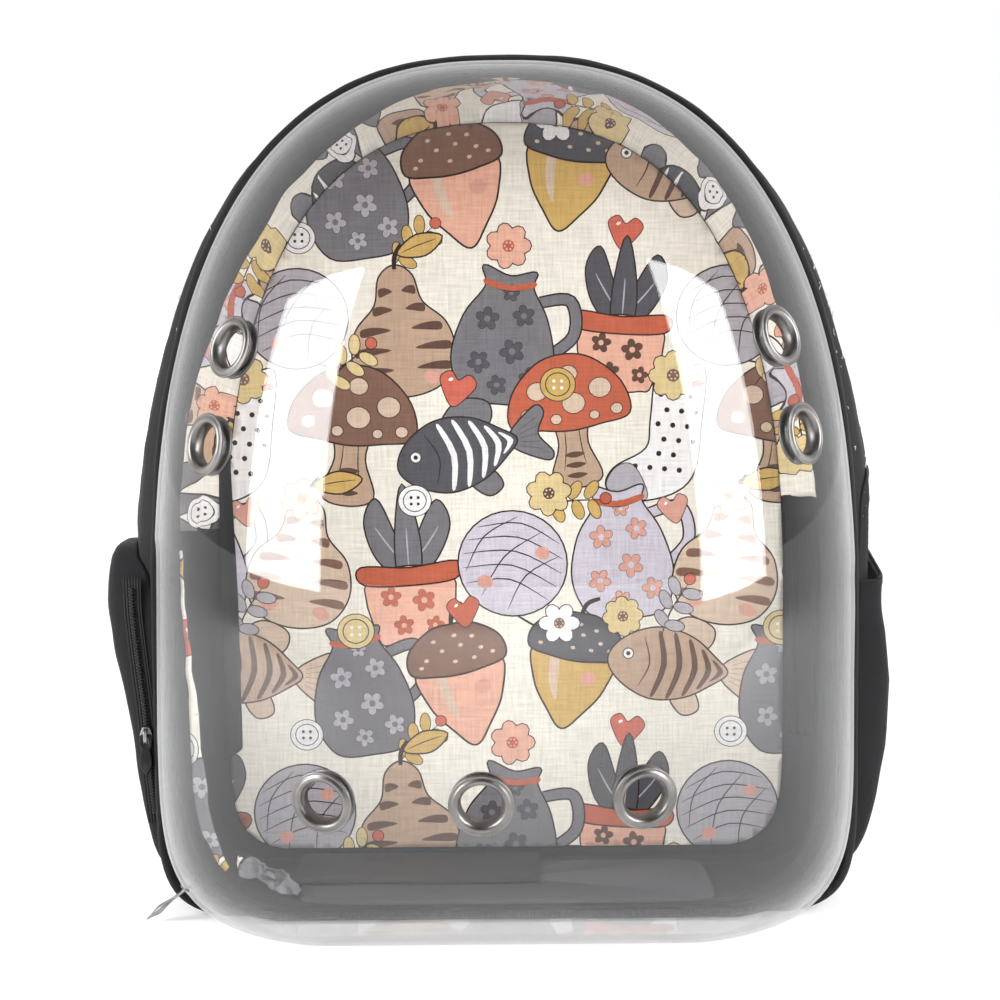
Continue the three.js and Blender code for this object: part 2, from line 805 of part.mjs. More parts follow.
// Leaf-shaped pull along +X from its hinge at the origin.
function pull(length) {
  const half = pullThickness / 2;
  const eyeHalf = pullEyeWidth / 2 + pullBar;
  const eyeEnd = pullBar / 2 + pullEyeLength + pullBar;
  const shape = new THREE.Shape();
  shape.moveTo(-pullBar / 2, -eyeHalf + 0.6);
  shape.lineTo(-pullBar / 2 + 0.6, -eyeHalf);
  shape.lineTo(eyeEnd - 1, -eyeHalf);
  shape.quadraticCurveTo(eyeEnd + 2, -pullWidth / 4, length * 0.55, -pullWidth / 2);
  shape.quadraticCurveTo(length * 0.85, -pullWidth / 2, length, 0);
  shape.quadraticCurveTo(length * 0.85, pullWidth / 2, length * 0.55, pullWidth / 2);
  shape.quadraticCurveTo(eyeEnd + 2, pullWidth / 4, eyeEnd - 1, eyeHalf);
  shape.lineTo(-pullBar / 2 + 0.6, eyeHalf);
  shape.lineTo(-pullBar / 2, eyeHalf - 0.6);
  shape.closePath();
  const eye = new THREE.Path();
  eye.moveTo(pullBar / 2, -pullEyeWidth / 2);
  eye.lineTo(pullBar / 2, pullEyeWidth / 2);
  eye.lineTo(pullBar / 2 + pullEyeLength, pullEyeWidth / 2);
  eye.lineTo(pullBar / 2 + pullEyeLength, -pullEyeWidth / 2);
  eye.closePath();
  shape.holes.push(eye);
  const geometry = new THREE.ExtrudeGeometry(shape, {
    depth: pullThickness, bevelEnabled: false, curveSegments: 4,
  });
  geometry.translate(0, 0, -half);
  return geometry;
}

const hingeRise = sliderHeight + bridgeInner / 2;

// Main slider on the left lower corner; its zip runs along the rim outline.
const coilOutline = outline(rimShape(coilHeight));
const aboveSlider = coilOutline.findLastIndex(([, z]) => z > mainSliderHeight);
const [upperX, upperZ] = coilOutline[aboveSlider];
const [lowerX, lowerZ] = coilOutline[aboveSlider + 1];
const mainSliderX = lerp(lowerX, upperX, (mainSliderHeight - lowerZ) / (upperZ - lowerZ));
// Angle of the outward normal in the XZ plane, from +X towards +Z.
const mainNormal = Math.atan2(upperX - lowerX, lowerZ - upperZ) + 2 * Math.PI;
const mainZipDepth = coilStart + coilWidth / 2;

function onRim(distanceOut) {
  return [
    mainSliderX + Math.cos(mainNormal) * distanceOut,
    mainZipDepth,
    mainSliderHeight + Math.sin(mainNormal) * distanceOut,
  ];
}

const mainSlider = place('main_zip_slider', slider(), zipMetal());
mainSlider.position.set(...onRim(clearance));
mainSlider.rotation.y = Math.PI / 2 - mainNormal;

const mainPull = place('main_zip_pull', pull(pullLength), zipMetal());
mainPull.position.set(...onRim(clearance + hingeRise));
mainPull.rotation.y = -radians(mainPullRest);

// Pocket slider: its zip runs up the pocket's front face, so the pull hangs straight down.
const facingForward = new THREE.Matrix4().makeBasis(
  new THREE.Vector3(0, 0, -1), new THREE.Vector3(1, 0, 0), new THREE.Vector3(0, -1, 0),
);
const pocketSliderX = pocketZipLine(pocketSliderHeight);
const pocketSliderBase = pocketZipDepth - pocketCoilThickness - clearance;

const pocketSlider = place('left_pocket_slider', slider(), zipMetal());
pocketSlider.position.set(pocketSliderX, pocketSliderBase, pocketSliderHeight);
pocketSlider.setRotationFromMatrix(facingForward);

const pocketPull = place('left_pocket_pull', pull(pocketPullLength), zipMetal());
pocketPull.position.set(pocketSliderX, pocketSliderBase - hingeRise, pocketSliderHeight);
pocketPull.setRotationFromMatrix(facingForward);

// Padded back panel

function backPad() {
  const rows = [
    { depth: 0, inset: 0.1 },
    { depth: 0.45, inset: 0 },
    { depth: 0.85, inset: 0.12 },
    { depth: 1, inset: 0.45 },
  ];
  const loops = rows.map(({ depth, inset }) => {
    const edge = padInset + inset * padInset;
    return outlineAt(backFace + depth * padThickness, {
      side: rimHalfWidth - edge,
      top: strapTopHeight + padTopGap - inset * padInset,
      foot: padFoot + inset * padInset,
    });
  });
  const channel = box(padChannelWidth, padChannelDepth * 2, rimHeight, 0, padFace, rimHeight / 2);
  return cut(loft(loops), [channel]);
}

place('back_pad', backPad(), blackCloth());

// Straps

// A flat band along a path; each row gives the centre and the direction of its width.
function band(path, wide, width, thickness) {
  const points = path.map((point) => new THREE.Vector3(...point));
  const across = wide.clone().normalize();
  return loft(points.map((point, i) => {
    const before = points[Math.max(i - 1, 0)];
    const after = points[Math.min(i + 1, points.length - 1)];
    const forward = after.clone().sub(before).normalize();
    const side = across.clone().addScaledVector(forward, -across.dot(forward)).normalize();
    const up = forward.clone().cross(side);
    const section = [
      [-0.5, -0.25], [-0.42, -0.5], [0.42, -0.5], [0.5, -0.25],
      [0.5, 0.25], [0.42, 0.5], [-0.42, 0.5], [-0.5, 0.25],
    ];
    return section.map(([u, v]) => point.clone()
      .addScaledVector(side, u * width)
      .addScaledVector(up, v * thickness)
      .toArray());
  }));
}

function smooth(points, steps) {
  const curve = new THREE.CatmullRomCurve3(points.map((point) => new THREE.Vector3(...point)));
  return curve.getSpacedPoints(steps).map((point) => point.toArray());
}

// Shares of the strap's drop and of its stand-off from the back, top to bottom.
const strapTable = [
  { drop: 0, stand: 0 },
  { drop: -0.09, stand: 0.45 },
  { drop: -0.05, stand: 0.85 },
  { drop: 0.14, stand: 1 },
  { drop: 0.45, stand: 0.98 },
  { drop: 0.75, stand: 0.78 },
  { drop: 1, stand: 0.5 },
];

function strapPath(sign) {
  const base = padFace + strapThickness / 2 + clearance;
  return strapTable.map(({ drop, stand }) => [
    sign * lerp(strapTopSpread, strapEndSpread, clamp(drop, 0, 1)),
    base + stand * strapStand,
    lerp(strapTopHeight, strapEndHeight, drop),
  ]);
}

function adjusterPlace(sign) {
  const [x, y, z] = strapPath(sign)[strapTable.length - 1];
  return [x, y, z - adjusterDrop - adjusterHeight / 2];
}

// From the adjuster's lower edge down to the anchor at the tray's lower corner.
function webbingPath(sign) {
  const [x, y, z] = adjusterPlace(sign);
  const start = [x, y, z - adjusterHeight / 2 - 2 * clearance];
  const foot = [
    sign * webbingFootSpread,
    backFace + anchorThickness / 2,
    webbingFootHeight + anchorHeight + clearance,
  ];
  const middle = start.map((value, axis) => lerp(value, foot[axis], 0.5));
  middle[1] += 5;
  const straight = 7;
  const first = [start[0], start[1], start[2] - straight];
  const last = [foot[0], foot[1] + 0.5, foot[2] + straight];
  return [start, first, middle, last, foot];
}

// Ladder-lock adjuster: a plate with two slots, hung on the end of the padded strap.
function adjuster() {
  const plate = box(adjusterWidth, adjusterThickness, adjusterHeight, 0, 0, 0);
  const slots = [-0.24, 0.24].map((share) => box(
    webbingWidth + 2, adjusterThickness + 4, adjusterSlot, 0, 0, share * adjusterHeight,
  ));
  return cut(plate, slots);
}

[['left', -1], ['right', 1]].forEach(([name, sign]) => {
  const path = smooth(strapPath(sign), 13);
  place(`${name}_shoulder_strap`, band(path, new THREE.Vector3(1, 0, 0), strapWidth, strapThickness), blackCloth());
  const lock = place(`${name}_adjuster`, adjuster(), blackPlastic());
  lock.position.set(...adjusterPlace(sign));
  place(`${name}_webbing`, band(
    smooth(webbingPath(sign), 8), new THREE.Vector3(1, 0, 0), webbingWidth, webbingThickness,
  ), blackTape());
  const anchor = box(
    webbingWidth + 10, anchorThickness, anchorHeight,
    sign * webbingFootSpread, backFace + anchorThickness / 2, webbingFootHeight + anchorHeight / 2,
  );
  place(`${name}_strap_anchor`, anchor, blackCloth());
});

// Grab handle: a webbing loop on the upper edge of the back.
const handleTable = [
  { across: -1, stand: 0 },
  { across: -1.02, stand: 0.4 },
  { across: -0.75, stand: 0.85 },
  { across: 0, stand: 1 },
  { across: 0.75, stand: 0.85 },
  { across: 1.02, stand: 0.4 },
  { across: 1, stand: 0 },
];

const handlePath = smooth(handleTable.map(({ across, stand }) => [
  across * handleHalfSpan,
  backFace + stand * handleStand,
  handleHeight,
]), 12);
place('grab_handle', band(handlePath, new THREE.Vector3(0, 0, 1), handleWidth, handleThickness), blackTape());

export default group;
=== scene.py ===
# Looks of the bubble pet carrier backpack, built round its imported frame.
# Own coordinates are millimetres: x, depth behind the dome's rim plane, height above the ground.

import json
import math

import bmesh
import bpy
import numpy as np
from mathutils import Matrix, Quaternion, Vector, noise
from mathutils.geometry import delaunay_2d_cdt


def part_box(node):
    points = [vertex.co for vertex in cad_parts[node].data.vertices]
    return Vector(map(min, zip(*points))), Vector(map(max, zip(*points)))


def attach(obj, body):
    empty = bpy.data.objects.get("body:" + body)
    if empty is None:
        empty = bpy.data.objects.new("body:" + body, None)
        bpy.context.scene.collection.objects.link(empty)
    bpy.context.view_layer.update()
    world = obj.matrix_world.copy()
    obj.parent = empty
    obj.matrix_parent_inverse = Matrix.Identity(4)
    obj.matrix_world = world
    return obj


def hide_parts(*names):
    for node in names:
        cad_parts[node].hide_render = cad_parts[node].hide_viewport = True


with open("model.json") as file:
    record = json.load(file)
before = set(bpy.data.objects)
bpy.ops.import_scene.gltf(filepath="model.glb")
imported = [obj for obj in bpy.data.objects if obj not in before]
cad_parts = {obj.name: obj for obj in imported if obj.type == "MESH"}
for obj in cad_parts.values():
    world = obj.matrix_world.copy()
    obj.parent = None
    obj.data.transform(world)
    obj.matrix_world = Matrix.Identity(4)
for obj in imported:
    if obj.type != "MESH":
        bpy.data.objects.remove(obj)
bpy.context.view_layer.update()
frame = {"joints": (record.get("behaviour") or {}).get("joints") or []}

MM = 0.001
RIM_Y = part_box("bubble_shell")[1][1]

# Main sizes, as in the part

RIM_HALF_WIDTH = 169
RIM_HEIGHT = 420
WAIST_HEIGHT = 140
RIM_FOOT = 1.5
ARCH_POWER = 2.52
CORNER_POWER = 5.7
FOOT_OVERSHOOT = 1.02
DOME_DEPTH = 150
DOME_WALL = 1.5
DOME_SIDE_POWER = 2.2
DOME_FOOT_POWER = 2.5
NOSE_ARCH_POWER = 2.15
NOSE_CORNER_POWER = 2.3
TAPE_WIDTH = 12
TAPE_THICKNESS = 1.2
PIPING_RADIUS = 2.6
PIPING_STAND = 4.2
PIPING_TOP_STAND = 3.2
PIPING_FLAT = 2
TRAY_FRONT = 12.4
TRAY_DEPTH = 112
TRAY_LENGTH = TRAY_DEPTH - TRAY_FRONT
TRAY_WALL = 4
TRAY_CORNER_POWER = 9
TRAY_SWELL = 15
TOP_SWELL_SHARE = 0.42
BACK_TUCK = 14
BACK_FOOT_RISE = 6
BAG_MIDDLE = 200
SIDE_LINING_LEFT_FOOT = 186
SIDE_LINING_RIGHT_FOOT = 201
WINDOW = {"front": 27, "back": 85, "foot": 66, "top": 218}

SWELL_UP = (0, 0.15, 0.3, 0.4, 0.47, 0.56, 0.7, 1)
SWELL_SHARE = (0.5, 0.68, 0.92, 1.2, 1.3, 1.25, 1.04, 1)
TRAY_ALONG = (0, 0.065, 0.1, 0.17, 0.36, 0.62, 0.84, 0.95, 1)
TRAY_SWELLS = (0, 0.02, 0.3, 0.78, 1, 0.9, 0.3, 0, 0)
TRAY_TUCKS = (0, 0, 0, 0, 0, 0, 0.04, 0.35, 1)
TRAY_LIFTS = (1, 1, 0, 0, 0, 0, 0, 0, 0)


# Mesh helpers

def to_world(points):
    """Own millimetres to metres of the shared frame."""
    placed = np.asarray(points, float) * MM
    placed[..., 1] += RIM_Y
    return placed


def new_object(name, points, faces, material=None, smooth=True, uv=None):
    """A mesh object from world points and faces, with cloth coordinates for each vertex if given."""
    mesh = bpy.data.meshes.new(name)
    mesh.from_pydata([tuple(point) for point in points], [], [tuple(face) for face in faces])
    mesh.validate()
    if uv is not None:
        set_cloth_uv(mesh, uv)
    mesh.polygons.foreach_set("use_smooth", np.full(len(mesh.polygons), smooth))
    if material is not None:
        mesh.materials.append(material)
    return linked(bpy.data.objects.new(name, mesh))


def linked(thing):
    bpy.context.scene.collection.objects.link(thing)
    return thing


def set_cloth_uv(mesh, uv):
    """Cloth coordinates, one pair per vertex."""
    layer = mesh.uv_layers.get("cloth") or mesh.uv_layers.new(name="cloth")
    corners = np.empty(len(mesh.loops), np.int32)
    mesh.loops.foreach_get("vertex_index", corners)
    layer.data.foreach_set("uv", np.asarray(uv, float)[corners].ravel())


def noise_over(*axes):
    """Smooth noise at many places, given axis by axis; a single number holds for all of them."""
    return np.array([noise.noise(Vector(place)) for place in zip(*np.broadcast_arrays(*axes))])


def running_length(points, axis):
    """Cumulative length along one axis of a grid of points, starting at 0."""
    steps = np.linalg.norm(np.diff(points, axis=axis), axis=-1)
    pad = [(0, 0), (0, 0)]
    pad[axis] = (1, 0)
    return np.pad(np.cumsum(steps, axis=axis), pad)


def grid_faces(rows, columns, close_rows=False, close_columns=False, start=0):
    faces = []
    for r in range(rows if close_rows else rows - 1):
        here = start + r * columns
        there = start + ((r + 1) % rows) * columns
        for c in range(columns if close_columns else columns - 1):
            d = (c + 1) % columns
            faces.append((here + c, here + d, there + d, there + c))
    return faces


def tube_faces(rings, sides, start=0):
    """Faces of a closed tube with both ends capped."""
    faces = grid_faces(rings, sides, close_columns=True, start=start)
    faces.append(tuple(start + k for k in reversed(range(sides))))
    faces.append(tuple(start + (rings - 1) * sides + k for k in range(sides)))
    return faces


def outward(faces, points):
    """Faces turned so that the closed solid they make points out."""
    points = np.asarray(points)
    volume = 0.0
    for face in faces:
        a = points[face[0]]
        for i in range(1, len(face) - 1):
            volume += np.dot(a, np.cross(points[face[i]], points[face[i + 1]]))
    return faces if volume > 0 else [tuple(reversed(face)) for face in faces]


def loft(name, loops, material, closed=False, caps=True, smooth=True):
    """A closed solid through equal closed loops of own millimetres, as an array (loops, points, 3)."""
    loops = to_world(loops)
    rows, columns = loops.shape[:2]
    points = loops.reshape(-1, 3)
    faces = grid_faces(rows, columns, close_rows=closed, close_columns=True)
    if caps and not closed:
        faces.append(tuple(reversed(range(columns))))
        faces.append(tuple(range((rows - 1) * columns, rows * columns)))
    faces = outward(faces, points)
    around = running_length(loops, 1)
    along = running_length(loops, 0)
    uv = np.stack([around, along], axis=-1).reshape(-1, 2)
    return new_object(name, points, faces, material, smooth, uv)


def resample(points, count, closed=False):
    """Points at equal steps along a polyline; a closed one doesn't repeat its first point."""
    points = np.asarray(points, float)
    if closed:
        points = np.vstack([points, points[:1]])
    steps = np.linalg.norm(np.diff(points, axis=0), axis=1)
    reach = np.concatenate([[0], np.cumsum(steps)])
    targets = np.linspace(0, reach[-1], count + 1)[:-1] if closed else np.linspace(0, reach[-1], count)
    return np.stack([np.interp(targets, reach, points[:, axis]) for axis in range(points.shape[1])],
        axis=1)


def catmull(points, per=8, closed=False):
    """Smooth curve through points."""
    points = np.asarray(points, float)
    count = len(points)
    spans = count if closed else count - 1
    result = []
    for i in range(spans):
        if closed:
            a, b, c, d = (points[(i + k - 1) % count] for k in range(4))
        else:
            a, b, c, d = (points[min(max(i + k - 1, 0), count - 1)] for k in range(4))
        for t in np.arange(per) / per:
            result.append(0.5 * (
                2 * b + (c - a) * t + (2 * a - 5 * b + 4 * c - d) * t ** 2 + (3 * b - a - 3 * c + d) * t ** 3
            ))
    if not closed:
        result.append(points[-1])
    return np.array(result)


def tangents(path, closed=False):
    if closed:
        forward = np.roll(path, -1, axis=0) - np.roll(path, 1, axis=0)
    else:
        forward = np.gradient(path, axis=0)
    return forward / np.linalg.norm(forward, axis=1, keepdims=True)


def sweep_loops(path, section, wide, closed=False, scale=None):
    """Loops of a section (n, 2) along a path; wide is the direction of the section's first axis."""
    path = np.asarray(path, float)
    forward = tangents(path, closed)
    wide = np.broadcast_to(np.asarray(wide, float), path.shape)
    side = wide - forward * np.sum(wide * forward, axis=1, keepdims=True)
    side /= np.linalg.norm(side, axis=1, keepdims=True)
    up = np.cross(forward, side)
    scale = np.ones(len(path)) if scale is None else np.asarray(scale, float)
    section = np.asarray(section, float)
    return (
        path[:, None, :]
        + side[:, None, :] * section[None, :, :1] * scale[:, None, None]
        + up[:, None, :] * section[None, :, 1:] * scale[:, None, None]
    )


def round_section(radius, sides=12, flat=1.0):
    angles = 2 * np.pi * np.arange(sides) / sides
    return np.stack([radius * np.cos(angles), radius * flat * np.sin(angles)], axis=1)


def band_section(width, thickness, edge=None, sides=5, crown=0.0):
    """Flat band with round edges; crown raises the middle of both faces."""
    edge = thickness / 2 if edge is None else edge
    points = []
    for quarter, (sx, sy) in enumerate(((1, 1), (-1, 1), (-1, -1), (1, -1))):
        for k in range(sides):
            angle = math.pi / 2 * (quarter + k / (sides - 1))
            x = sx * (width / 2 - edge) + edge * math.cos(angle)
            y = sy * (thickness / 2 - min(edge, thickness / 2)) + min(edge,
                thickness / 2) * math.sin(angle)
            points.append((x, y))
        if quarter in (0, 2):
            for share in np.linspace(-1, 1, 9)[1:-1]:
                x = -sx * share * (width / 2 - edge)
                points.append((x, sy * (thickness / 2 + crown * (1 - share ** 2))))
    return np.array(points)


# The bag's outlines

def outline(shape, steps):
    """Closed outline as (x, height) from the bottom centre round the +X side."""
    side, top, foot = shape["side"], shape["top"], shape["foot"]
    arch = shape.get("arch", ARCH_POWER)
    corner = shape.get("corner", CORNER_POWER)
    overshoot = shape.get("overshoot", FOOT_OVERSHOOT)
    fine = 500
    lower = np.linspace(math.pi / 2, 0, fine, endpoint=False)
    drop = (WAIST_HEIGHT - foot) * overshoot * np.sin(lower) ** (2 / corner)
    low = np.stack([
        side * np.abs(np.cos(lower)) ** (2 / corner),
        np.maximum(WAIST_HEIGHT - drop, foot),
    ], axis=1)
    upper = np.linspace(0, math.pi / 2, fine)
    high = np.stack([
        side * np.abs(np.cos(upper)) ** (2 / arch),
        WAIST_HEIGHT + (top - WAIST_HEIGHT) * np.sin(upper) ** (2 / arch),
    ], axis=1)
    right = np.vstack([low, high])
    share = np.interp(right[:, 1] / RIM_HEIGHT, SWELL_UP, SWELL_SHARE)
    right[:, 0] *= 1 + shape.get("swell", 0) * share / side
    right[0, 0] = 0
    right[-1, 0] = 0
    half = resample(right, steps // 2 + 1)
    left = half[1:-1][::-1] * np.array([-1, 1])
    return np.vstack([half, left])


def outward_normals(line):
    """Unit normals of a closed (x, height) outline, as directions in space."""
    forward = np.roll(line, -1, axis=0) - np.roll(line, 1, axis=0)
    forward /= np.linalg.norm(forward, axis=1, keepdims=True)
    return np.stack([forward[:, 1], np.zeros(len(line)), -forward[:, 0]], axis=1)


def at_depth(line, depth):
    """Outline points as points of space."""
    return np.stack([line[:, 0], np.full(len(line), depth), line[:, 1]], axis=1)


def rim_shape(out):
    return {
        "side": RIM_HALF_WIDTH + out,
        "top": RIM_HEIGHT + out,
        "foot": max(RIM_FOOT * (1 - out / 2), 0.05),
    }


def dome_shape(share, inset):
    across = (1 - share ** DOME_SIDE_POWER) ** (1 / DOME_SIDE_POWER)
    down = (1 - share ** DOME_FOOT_POWER) ** (1 / DOME_FOOT_POWER)
    blend = share ** 1.5
    return {
        "side": (RIM_HALF_WIDTH - inset) * across,
        "top": WAIST_HEIGHT + (RIM_HEIGHT - inset - WAIST_HEIGHT) * across,
        "foot": WAIST_HEIGHT - (WAIST_HEIGHT - RIM_FOOT - inset) * down,
        "arch": ARCH_POWER + (NOSE_ARCH_POWER - ARCH_POWER) * blend,
        "corner": CORNER_POWER + (NOSE_CORNER_POWER - CORNER_POWER) * blend,
        "overshoot": FOOT_OVERSHOOT + (1 - FOOT_OVERSHOOT) * blend,
    }


def tray_shape(along, inset):
    swell = float(np.interp(along, TRAY_ALONG, TRAY_SWELLS)) * TRAY_SWELL
    tuck = float(np.interp(along, TRAY_ALONG, TRAY_TUCKS))
    lift = float(np.interp(along, TRAY_ALONG, TRAY_LIFTS)) * (PIPING_FLAT + 0.4)
    return {
        "side": RIM_HALF_WIDTH - tuck * BACK_TUCK - inset,
        "top": RIM_HEIGHT + swell * TOP_SWELL_SHARE - tuck * BACK_TUCK - inset,
        "foot": tuck * BACK_FOOT_RISE + max(lift, inset),
        "corner": TRAY_CORNER_POWER,
        "swell": swell,
    }


def side_at(shape, height):
    """Half width of an outline at a level, swell included."""
    up = height > WAIST_HEIGHT
    reach = shape["top"] - WAIST_HEIGHT if up else (WAIST_HEIGHT - shape["foot"]) * shape.get("overshoot",
        FOOT_OVERSHOOT)
    exponent = shape.get("arch", ARCH_POWER) if up else shape.get("corner", CORNER_POWER)
    share = min(abs(height - WAIST_HEIGHT) / reach, 1)
    half = shape["side"] * (1 - share ** exponent) ** (1 / exponent)
    swell = shape.get("swell", 0) * float(np.interp(height / RIM_HEIGHT, SWELL_UP, SWELL_SHARE))
    return half * (1 + swell / shape["side"])


def tray_face(depth, height):
    return side_at(tray_shape((depth - TRAY_FRONT) / TRAY_LENGTH, 0), height)


# Printed cloth: layered flat shapes, worked into one mesh with a colour for every face

INK = "ink"
PRINT_COLOURS = {
    "cream": (0.780, 0.735, 0.640),
    "ink": (0.030, 0.018, 0.014),
    "tan": (0.470, 0.325, 0.225),
    "beige": (0.610, 0.465, 0.350),
    "brown": (0.115, 0.058, 0.040),
    "cocoa": (0.205, 0.110, 0.075),
    "grey": (0.175, 0.168, 0.178),
    "slate": (0.085, 0.083, 0.092),
    "silver": (0.410, 0.385, 0.410),
    "lilac": (0.560, 0.520, 0.575),
    "peach": (0.720, 0.395, 0.285),
    "blush": (0.640, 0.330, 0.255),
    "rust": (0.480, 0.115, 0.060),
    "red": (0.560, 0.130, 0.085),
    "mustard": (0.560, 0.370, 0.120),
    "straw": (0.660, 0.520, 0.260),
    "white": (0.800, 0.780, 0.760),
}
INK_WIDTH = 0.9
MOTIF_SCALE = 0.99
TILE_SCALE = 0.86
MOTIF_REACH = 62


def grow(polygon, width):
    """A closed polygon moved out by a width along its normals."""
    before = polygon - np.roll(polygon, 1, axis=0)
    after = np.roll(polygon, -1, axis=0) - polygon
    before /= np.linalg.norm(before, axis=1, keepdims=True) + 1e-9
    after /= np.linalg.norm(after, axis=1, keepdims=True) + 1e-9
    normal = np.stack([(before + after)[:, 1], -(before + after)[:, 0]], axis=1)
    normal /= np.linalg.norm(normal, axis=1, keepdims=True) + 1e-9
    x, y = polygon.T
    area = np.sum(x * np.roll(y, -1) - np.roll(x, -1) * y)
    return polygon + normal * width * (1 if area > 0 else -1)


def oval(x, y, rx, ry=None, turn=0, count=20, exponent=2.0):
    ry = rx if ry is None else ry
    angles = 2 * np.pi * np.arange(count) / count
    c, s = np.cos(angles), np.sin(angles)
    px = np.sign(c) * np.abs(c) ** (2 / exponent) * rx
    py = np.sign(s) * np.abs(s) ** (2 / exponent) * ry
    a = math.radians(turn)
    return np.stack([x + px * math.cos(a) - py * math.sin(a), y + px * math.sin(a) + py * math.cos(a)],
        axis=1)


def curved(*points, per=5):
    return catmull(points, per, closed=True)


def stroke(points, width=INK_WIDTH, taper=0.35, per=4):
    """Polygon of a line drawn through points, thinner at its ends."""
    line = catmull(points, per) if len(points) > 2 else np.asarray(points, float)
    forward = np.gradient(line, axis=0)
    forward /= np.linalg.norm(forward, axis=1, keepdims=True) + 1e-9
    normal = np.stack([-forward[:, 1], forward[:, 0]], axis=1)
    share = np.linspace(0, 1, len(line))
    half = width / 2 * (taper + (1 - taper) * np.sin(np.pi * share))
    return np.vstack([line + normal * half[:, None], (line - normal * half[:, None])[::-1]])


def inked(polygon, colour, width=INK_WIDTH):
    return [(INK, grow(polygon, width)), (colour, polygon)]


def daisy(x, y, size, petal="cream", heart="cocoa", petals=5, ink=0.45, turn=0):
    """Flower of round petals with a dark edge."""
    shapes = []
    for tone, edge in ((INK, ink), (petal, 0)):
        for k in range(petals):
            angle = 2 * math.pi * k / petals + turn
            middle = (x + 0.6 * size * math.cos(angle), y + 0.6 * size * math.sin(angle))
            shapes.append((tone, oval(*middle, 0.42 * size + edge, 0.34 * size + edge, math.degrees(angle),
                10)))
    shapes.append((heart, oval(x, y, 0.28 * size, count=9)))
    return shapes


def pear(body="tan", mark="brown"):
    outer = curved((0, 36), (9, 30), (13, 15), (25, 2), (28, -16), (19, -31), (0, -36),
                   (-19, -31), (-28, -16), (-25, 2), (-13, 15), (-9, 30))
    shapes = inked(outer, body)
    for y, reach in ((22, 10), (12, 14), (1, 22), (-10, 26), (-21, 25)):
        for side in (-1, 1):
            tip = 0.25 * reach
            shapes.append((mark, curved(
                (side * reach, y + 1.8), (side * (reach + tip) / 2, y + 2.4), (side * tip, y),
                (side * (reach + tip) / 2, y - 1.6), (side * reach, y - 2.4), per=3)))
    shapes += [("blush", oval(-15, -25, 5, 3.6, 20, 12)), ("blush", oval(14, -27, 5, 3.4, -20, 12))]
    shapes.append((INK, stroke(((0, 34), (1, 41), (5, 47)), 2.6, 0.8)))
    leaf_shape = curved((3, 42), (14, 51), (28, 49), (18, 40))
    shapes += inked(leaf_shape, "mustard")
    shapes.append((INK, stroke(((5, 42.5), (14, 45.5), (25, 48)), 0.6)))
    return shapes


def mushroom(cap="rust", spot="cream", stem="beige"):
    stalk = curved((-9, 6), (-8, -12), (-14, -32), (0, -37), (14, -32), (8, -12), (9, 6))
    shapes = inked(stalk, stem)
    shapes += [(INK, stroke(((-4, 0), (-4.5, -14), (-7, -27)), 0.6)),
        (INK, stroke(((4, 0), (4.5, -14), (6, -24)), 0.6))]
    for y in (-18, -24, -30):
        shapes.append(("brown", curved((-6, y), (0, y + 1.5), (6, y), (0, y - 2), per=3)))
    dome_top = curved((-34, 2), (-31, 20), (-16, 35), (0, 39), (16, 35), (31, 20), (34, 2), (17, -2),
        (0, -4), (-17, -2))
    shapes += inked(dome_top, cap)
    for x, y, r in ((-17, 20, 5.6), (2, 28, 5), (19, 18, 6.2), (-24, 7, 3.6), (3, 11, 6.4), (27, 5, 3.2),
            (-8, 3, 3), (14, 3, 2.6)):
        shapes += inked(oval(x, y, r, r * 0.9, count=14), spot, 0.5)
    return shapes


def jug(body, flower):
    handle = catmull(((17, 20), (34, 22), (37, 3), (20, -12)), 6)
    shapes = [(INK, stroke(handle, 7.5, 0.9, 1)), (body, stroke(handle, 5.6, 0.9, 1))]
    outer = curved((-15, 38), (-13, 27), (-24, 10), (-29, -14), (-20, -34), (0, -37), (20, -34),
                   (27, -14), (22, 10), (13, 27), (14, 36), (0, 33))
    shapes += inked(outer, body)
    for x, y, size in ((-11, 9, 6.5), (9, 12, 6), (-14, -15, 6.2), (4, -8, 6.8), (15, -22, 6),
            (-3, -27, 5.4), (1, 24, 4.6)):
        shapes += daisy(x, y, size, flower, body, 5, 0.25, x * 0.2)
    shapes.append((INK, stroke(((-14, 28), (0, 25), (14, 28)), 0.7)))
    shapes += [("rust", curved((-13.5, 31), (0, 28.4), (13.5, 31), (13, 27.6), (0, 25.2), (-13, 27.6)))]
    return shapes


def yarn(ball="lilac", line=INK):
    shapes = [(INK, stroke(((8, -28), (26, -33), (38, -27), (34, -18), (28, -24)), 1.5, 0.7))]
    shapes += inked(oval(0, 0, 30, 29, count=32), ball)
    for k, lift in enumerate((-16, -8, 0, 8, 16)):
        reach = math.sqrt(29 ** 2 - lift ** 2) * 0.96
        shapes.append((line, stroke(((-reach, lift), (0, lift + 7), (reach, lift)), 0.75)))
        turn = math.radians(58)
        line_points = [(-reach * 0.9, lift), (0, lift + 6), (reach * 0.9, lift)]
        turned = [(px * math.cos(turn) - py * math.sin(turn),
            px * math.sin(turn) + py * math.cos(turn)) for px, py in line_points]
        if k % 2 == 0:
            shapes.append((line, stroke(turned, 0.75)))
    shapes += [("blush", oval(-13, -13, 4.6, 3.8, 0, 12)), ("blush", oval(15, 9, 4.2, 3.6, 0, 12))]
    return shapes


